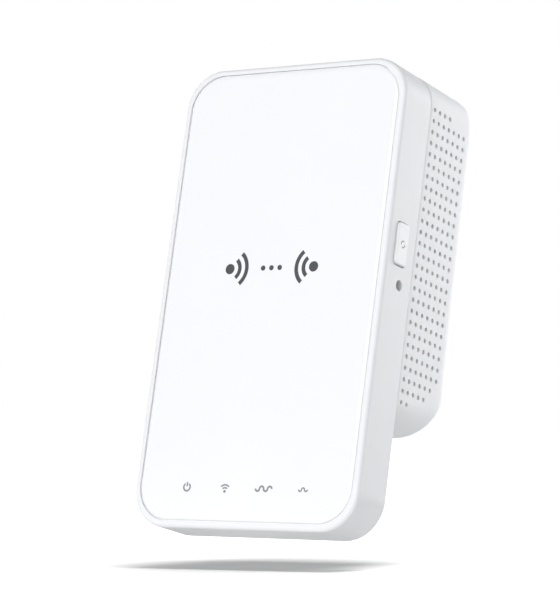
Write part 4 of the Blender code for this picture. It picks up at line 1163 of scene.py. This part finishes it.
class EXTENDER_OT_stage(bpy.types.Operator):
    """Sets up the camera, the pale floor, the lights and the white surround"""

    bl_idname = "extender.stage"
    bl_label = "Studio"

    def execute(self, context):
        stage = context.scene.extender_stage
        self.camera(context, stage)
        self.floor(stage)
        self.world(context, stage)
        self.lights(stage)
        context.scene.view_settings.view_transform = "Standard"
        return {"FINISHED"}

    def camera(self, context, stage):
        aim = Vector(stage.aim)
        level = math.cos(stage.elevation)
        back = Vector(
            (math.sin(stage.azimuth) * level, -math.cos(stage.azimuth) * level, math.sin(stage.elevation))
        )
        data = bpy.data.cameras.new("camera")
        data.lens = stage.lens
        data.clip_start = 0.01
        camera = bpy.data.objects.new("camera", data)
        context.scene.collection.objects.link(camera)
        turn = back.to_track_quat("Z", "Y").to_matrix() @ Matrix.Rotation(stage.roll, 3, "Z")
        camera.matrix_world = Matrix.Translation(aim + back * stage.distance) @ turn.to_4x4()
        context.scene.camera = camera
        self.aim, self.turn = aim, turn

    def in_view(self, right, up, back):
        """A point given by how far it is right of, above and nearer than the camera's aim."""
        return self.aim + self.turn @ Vector((right, up, back))

    def floor(self, stage):
        bm = bmesh.new()
        bmesh.ops.create_grid(bm, x_segments=1, y_segments=1, size=stage.floor_size)
        level = self.floor_normal(stage).to_track_quat("Z", "Y").to_matrix().to_4x4()
        place = Matrix.Translation(self.in_view(0, -stage.floor_drop, 0)) @ level
        bmesh.ops.transform(bm, matrix=place, verts=bm.verts[:])
        floor = new_object("studio_floor", bm)
        paper = moulded("floor_paper", tuple(stage.floor_colour), 0.9, 300.0, 0.01, 0.0)
        paper.shader.inputs["Emission Color"].default_value = (1.0, 1.0, 1.0, 1.0)
        paper.shader.inputs["Specular IOR Level"].default_value = 0.0
        self.add_painted_glow(paper, stage)
        floor.data.materials.append(paper.material)
        self.floor_only = bpy.data.collections.new("floor_only")
        self.floor_only.objects.link(floor)

    def add_painted_glow(self, paper, stage):
        """Lifts the floor to white for the camera away from the shadow, and sets the light it sends back. The
        glow grows with distance from the shadow's middle, a painted fade round the cast shadow. The light
        sent back holds a painted glow up at the piece near the shadow, and the floor sends back a darker
        colour than the camera sees, painted shade under the piece.
        """
        away = paper.nodes.new("ShaderNodeVectorMath")
        away.operation = "DISTANCE"
        away.inputs[1].default_value = self.in_view(-stage.shadow_shift, -stage.floor_drop, 0)
        paper.links.new(paper.place, away.inputs[0])
        path = paper.nodes.new("ShaderNodeLightPath").outputs["Is Camera Ray"]
        # painted shadow fade: the glow is dim at the shadow's middle and grows outwards to white
        glow = paper.ranged(away.outputs["Value"], stage.floor_glow, stage.far_glow)
        # painted light: a glow up at the piece from the floor under it, strongest at the shadow's middle and
        # gone by under_reach
        back = paper.ranged(away.outputs["Value"], stage.under_glow, 0.0)
        for reach, start, end in ((glow, stage.glow_start, stage.glow_end), (back, 0.0, stage.under_reach)):
            reach.node.interpolation_type = "SMOOTHSTEP"
            reach.node.inputs["From Min"].default_value = start
            reach.node.inputs["From Max"].default_value = end
        seen = paper.nodes.new("ShaderNodeMix")
        paper.links.new(path, seen.inputs["Factor"])
        paper.links.new(back, seen.inputs["A"])
        paper.links.new(glow, seen.inputs["B"])
        paper.links.new(seen.outputs["Result"], paper.shader.inputs["Emission Strength"])
        # painted shade: all but camera rays see the darker floor_return, which dims the light bounced up at
        # the piece
        tint = paper.mixed(path, stage.floor_return, stage.floor_colour)
        paper.links.new(tint, paper.shader.inputs["Base Color"])

    def world(self, context, stage):
        """White where the camera sees it; for the light, dimmer above than around."""
        world = bpy.data.worlds.new("studio")
        world.use_nodes = True
        nodes, links = world.node_tree.nodes, world.node_tree.links
        seen = nodes["Background"]
        seen.inputs["Color"].default_value = (1.0, 1.0, 1.0, 1.0)
        fill = nodes.new("ShaderNodeBackground")
        fill.inputs["Color"].default_value = (*stage.fill_colour, 1.0)
        rise = nodes.new("ShaderNodeVectorMath")
        rise.operation = "DOT_PRODUCT"
        rise.inputs[1].default_value = self.floor_normal(stage)
        dim = nodes.new("ShaderNodeMapRange")
        dim.interpolation_type = "SMOOTHSTEP"
        dim.inputs["From Min"].default_value = stage.fill_start
        dim.inputs["From Max"].default_value = stage.fill_end
        dim.inputs["To Min"].default_value = stage.fill_around
        dim.inputs["To Max"].default_value = stage.fill_above
        links.new(nodes.new("ShaderNodeTexCoord").outputs["Generated"], rise.inputs[0])
        links.new(rise.outputs["Value"], dim.inputs["Value"])
        links.new(dim.outputs["Result"], fill.inputs["Strength"])
        path = nodes.new("ShaderNodeLightPath")
        choose = nodes.new("ShaderNodeMixShader")
        links.new(path.outputs["Is Camera Ray"], choose.inputs["Fac"])
        links.new(fill.outputs["Background"], choose.inputs[1])
        links.new(seen.outputs["Background"], choose.inputs[2])
        links.new(choose.outputs["Shader"], nodes["World Output"].inputs["Surface"])
        context.scene.world = world

    def floor_normal(self, stage):
        lean = Matrix.Rotation(stage.floor_roll, 3, "Z") @ Matrix.Rotation(stage.floor_tilt, 3, "X")
        return self.turn @ lean @ Vector((0, 1, 0))

    def lights(self, stage):
        over = bpy.data.lights.new("overhead", "SUN")
        over.energy = stage.overhead
        over.angle = stage.overhead_spread
        lean = Matrix.Rotation(-stage.overhead_lean, 3, self.turn @ Vector((0, 0, 1)))
        towards = lean @ self.floor_normal(stage)
        sun = self.add_light(over)
        sun.matrix_world = towards.to_track_quat("Z", "Y").to_matrix().to_4x4()
        sun.light_linking.receiver_collection = self.floor_only
        self.panel_light("key_light", stage.key_place, stage.key_size, stage.key)
        self.panel_light("side_light", stage.side_place, stage.side_size, stage.side)

    def add_light(self, data):
        light = bpy.data.objects.new(data.name, data)
        light.visible_camera = False
        bpy.context.scene.collection.objects.link(light)
        return light

    def panel_light(self, name, place, size, power):
        data = bpy.data.lights.new(name, "AREA")
        data.shape = "SQUARE"
        data.size = size
        data.energy = power
        at = self.in_view(*place)
        turn = (at - self.aim).to_track_quat("Z", "Y").to_matrix().to_4x4()
        self.add_light(data).matrix_world = Matrix.Translation(at) @ turn


class EXTENDER_PT_sidebar(bpy.types.Panel):
    """Lists the pieces, the stage and their settings"""

    bl_label = "Range Extender"
    bl_space_type = "VIEW_3D"
    bl_region_type = "UI"
    bl_category = "Extender"

    def draw(self, context):
        for operator in OPERATORS:
            self.layout.operator(operator.bl_idname)
        for settings in SETTINGS:
            box = self.layout.box()
            group = getattr(context.scene, settings)
            for name in group.bl_rna.properties.keys():
                if name not in ("rna_type", "name"):
                    box.prop(group, name)


SETTINGS = {
    "extender_housing": ExtenderHousing,
    "extender_vents": ExtenderVents,
    "extender_marks": ExtenderMarks,
    "extender_stage": ExtenderStage,
}
OPERATORS = (
    EXTENDER_OT_stage,
    EXTENDER_OT_inner_finishes,
    EXTENDER_OT_front_panel,
    EXTENDER_OT_front_housing,
    EXTENDER_OT_rear_housing,
    EXTENDER_OT_marks,
    EXTENDER_OT_pair_button,
    EXTENDER_OT_plug,
)


def register():
    for made in (*SETTINGS.values(), *OPERATORS, EXTENDER_PT_sidebar):
        bpy.utils.register_class(made)
    for name, group in SETTINGS.items():
        setattr(bpy.types.Scene, name, bpy.props.PointerProperty(type=group))


def unregister():
    for name in SETTINGS:
        delattr(bpy.types.Scene, name)
    for made in reversed((*SETTINGS.values(), *OPERATORS, EXTENDER_PT_sidebar)):
        bpy.utils.unregister_class(made)


def main():
    register()
    bpy.ops.extender.stage()
    bpy.ops.extender.inner_finishes()
    bpy.ops.extender.front_panel()
    bpy.ops.extender.front_housing()
    bpy.ops.extender.rear_housing()
    bpy.ops.extender.marks()
    bpy.ops.extender.pair_button()
    bpy.ops.extender.plug()


if __name__ == "__main__":
    main()
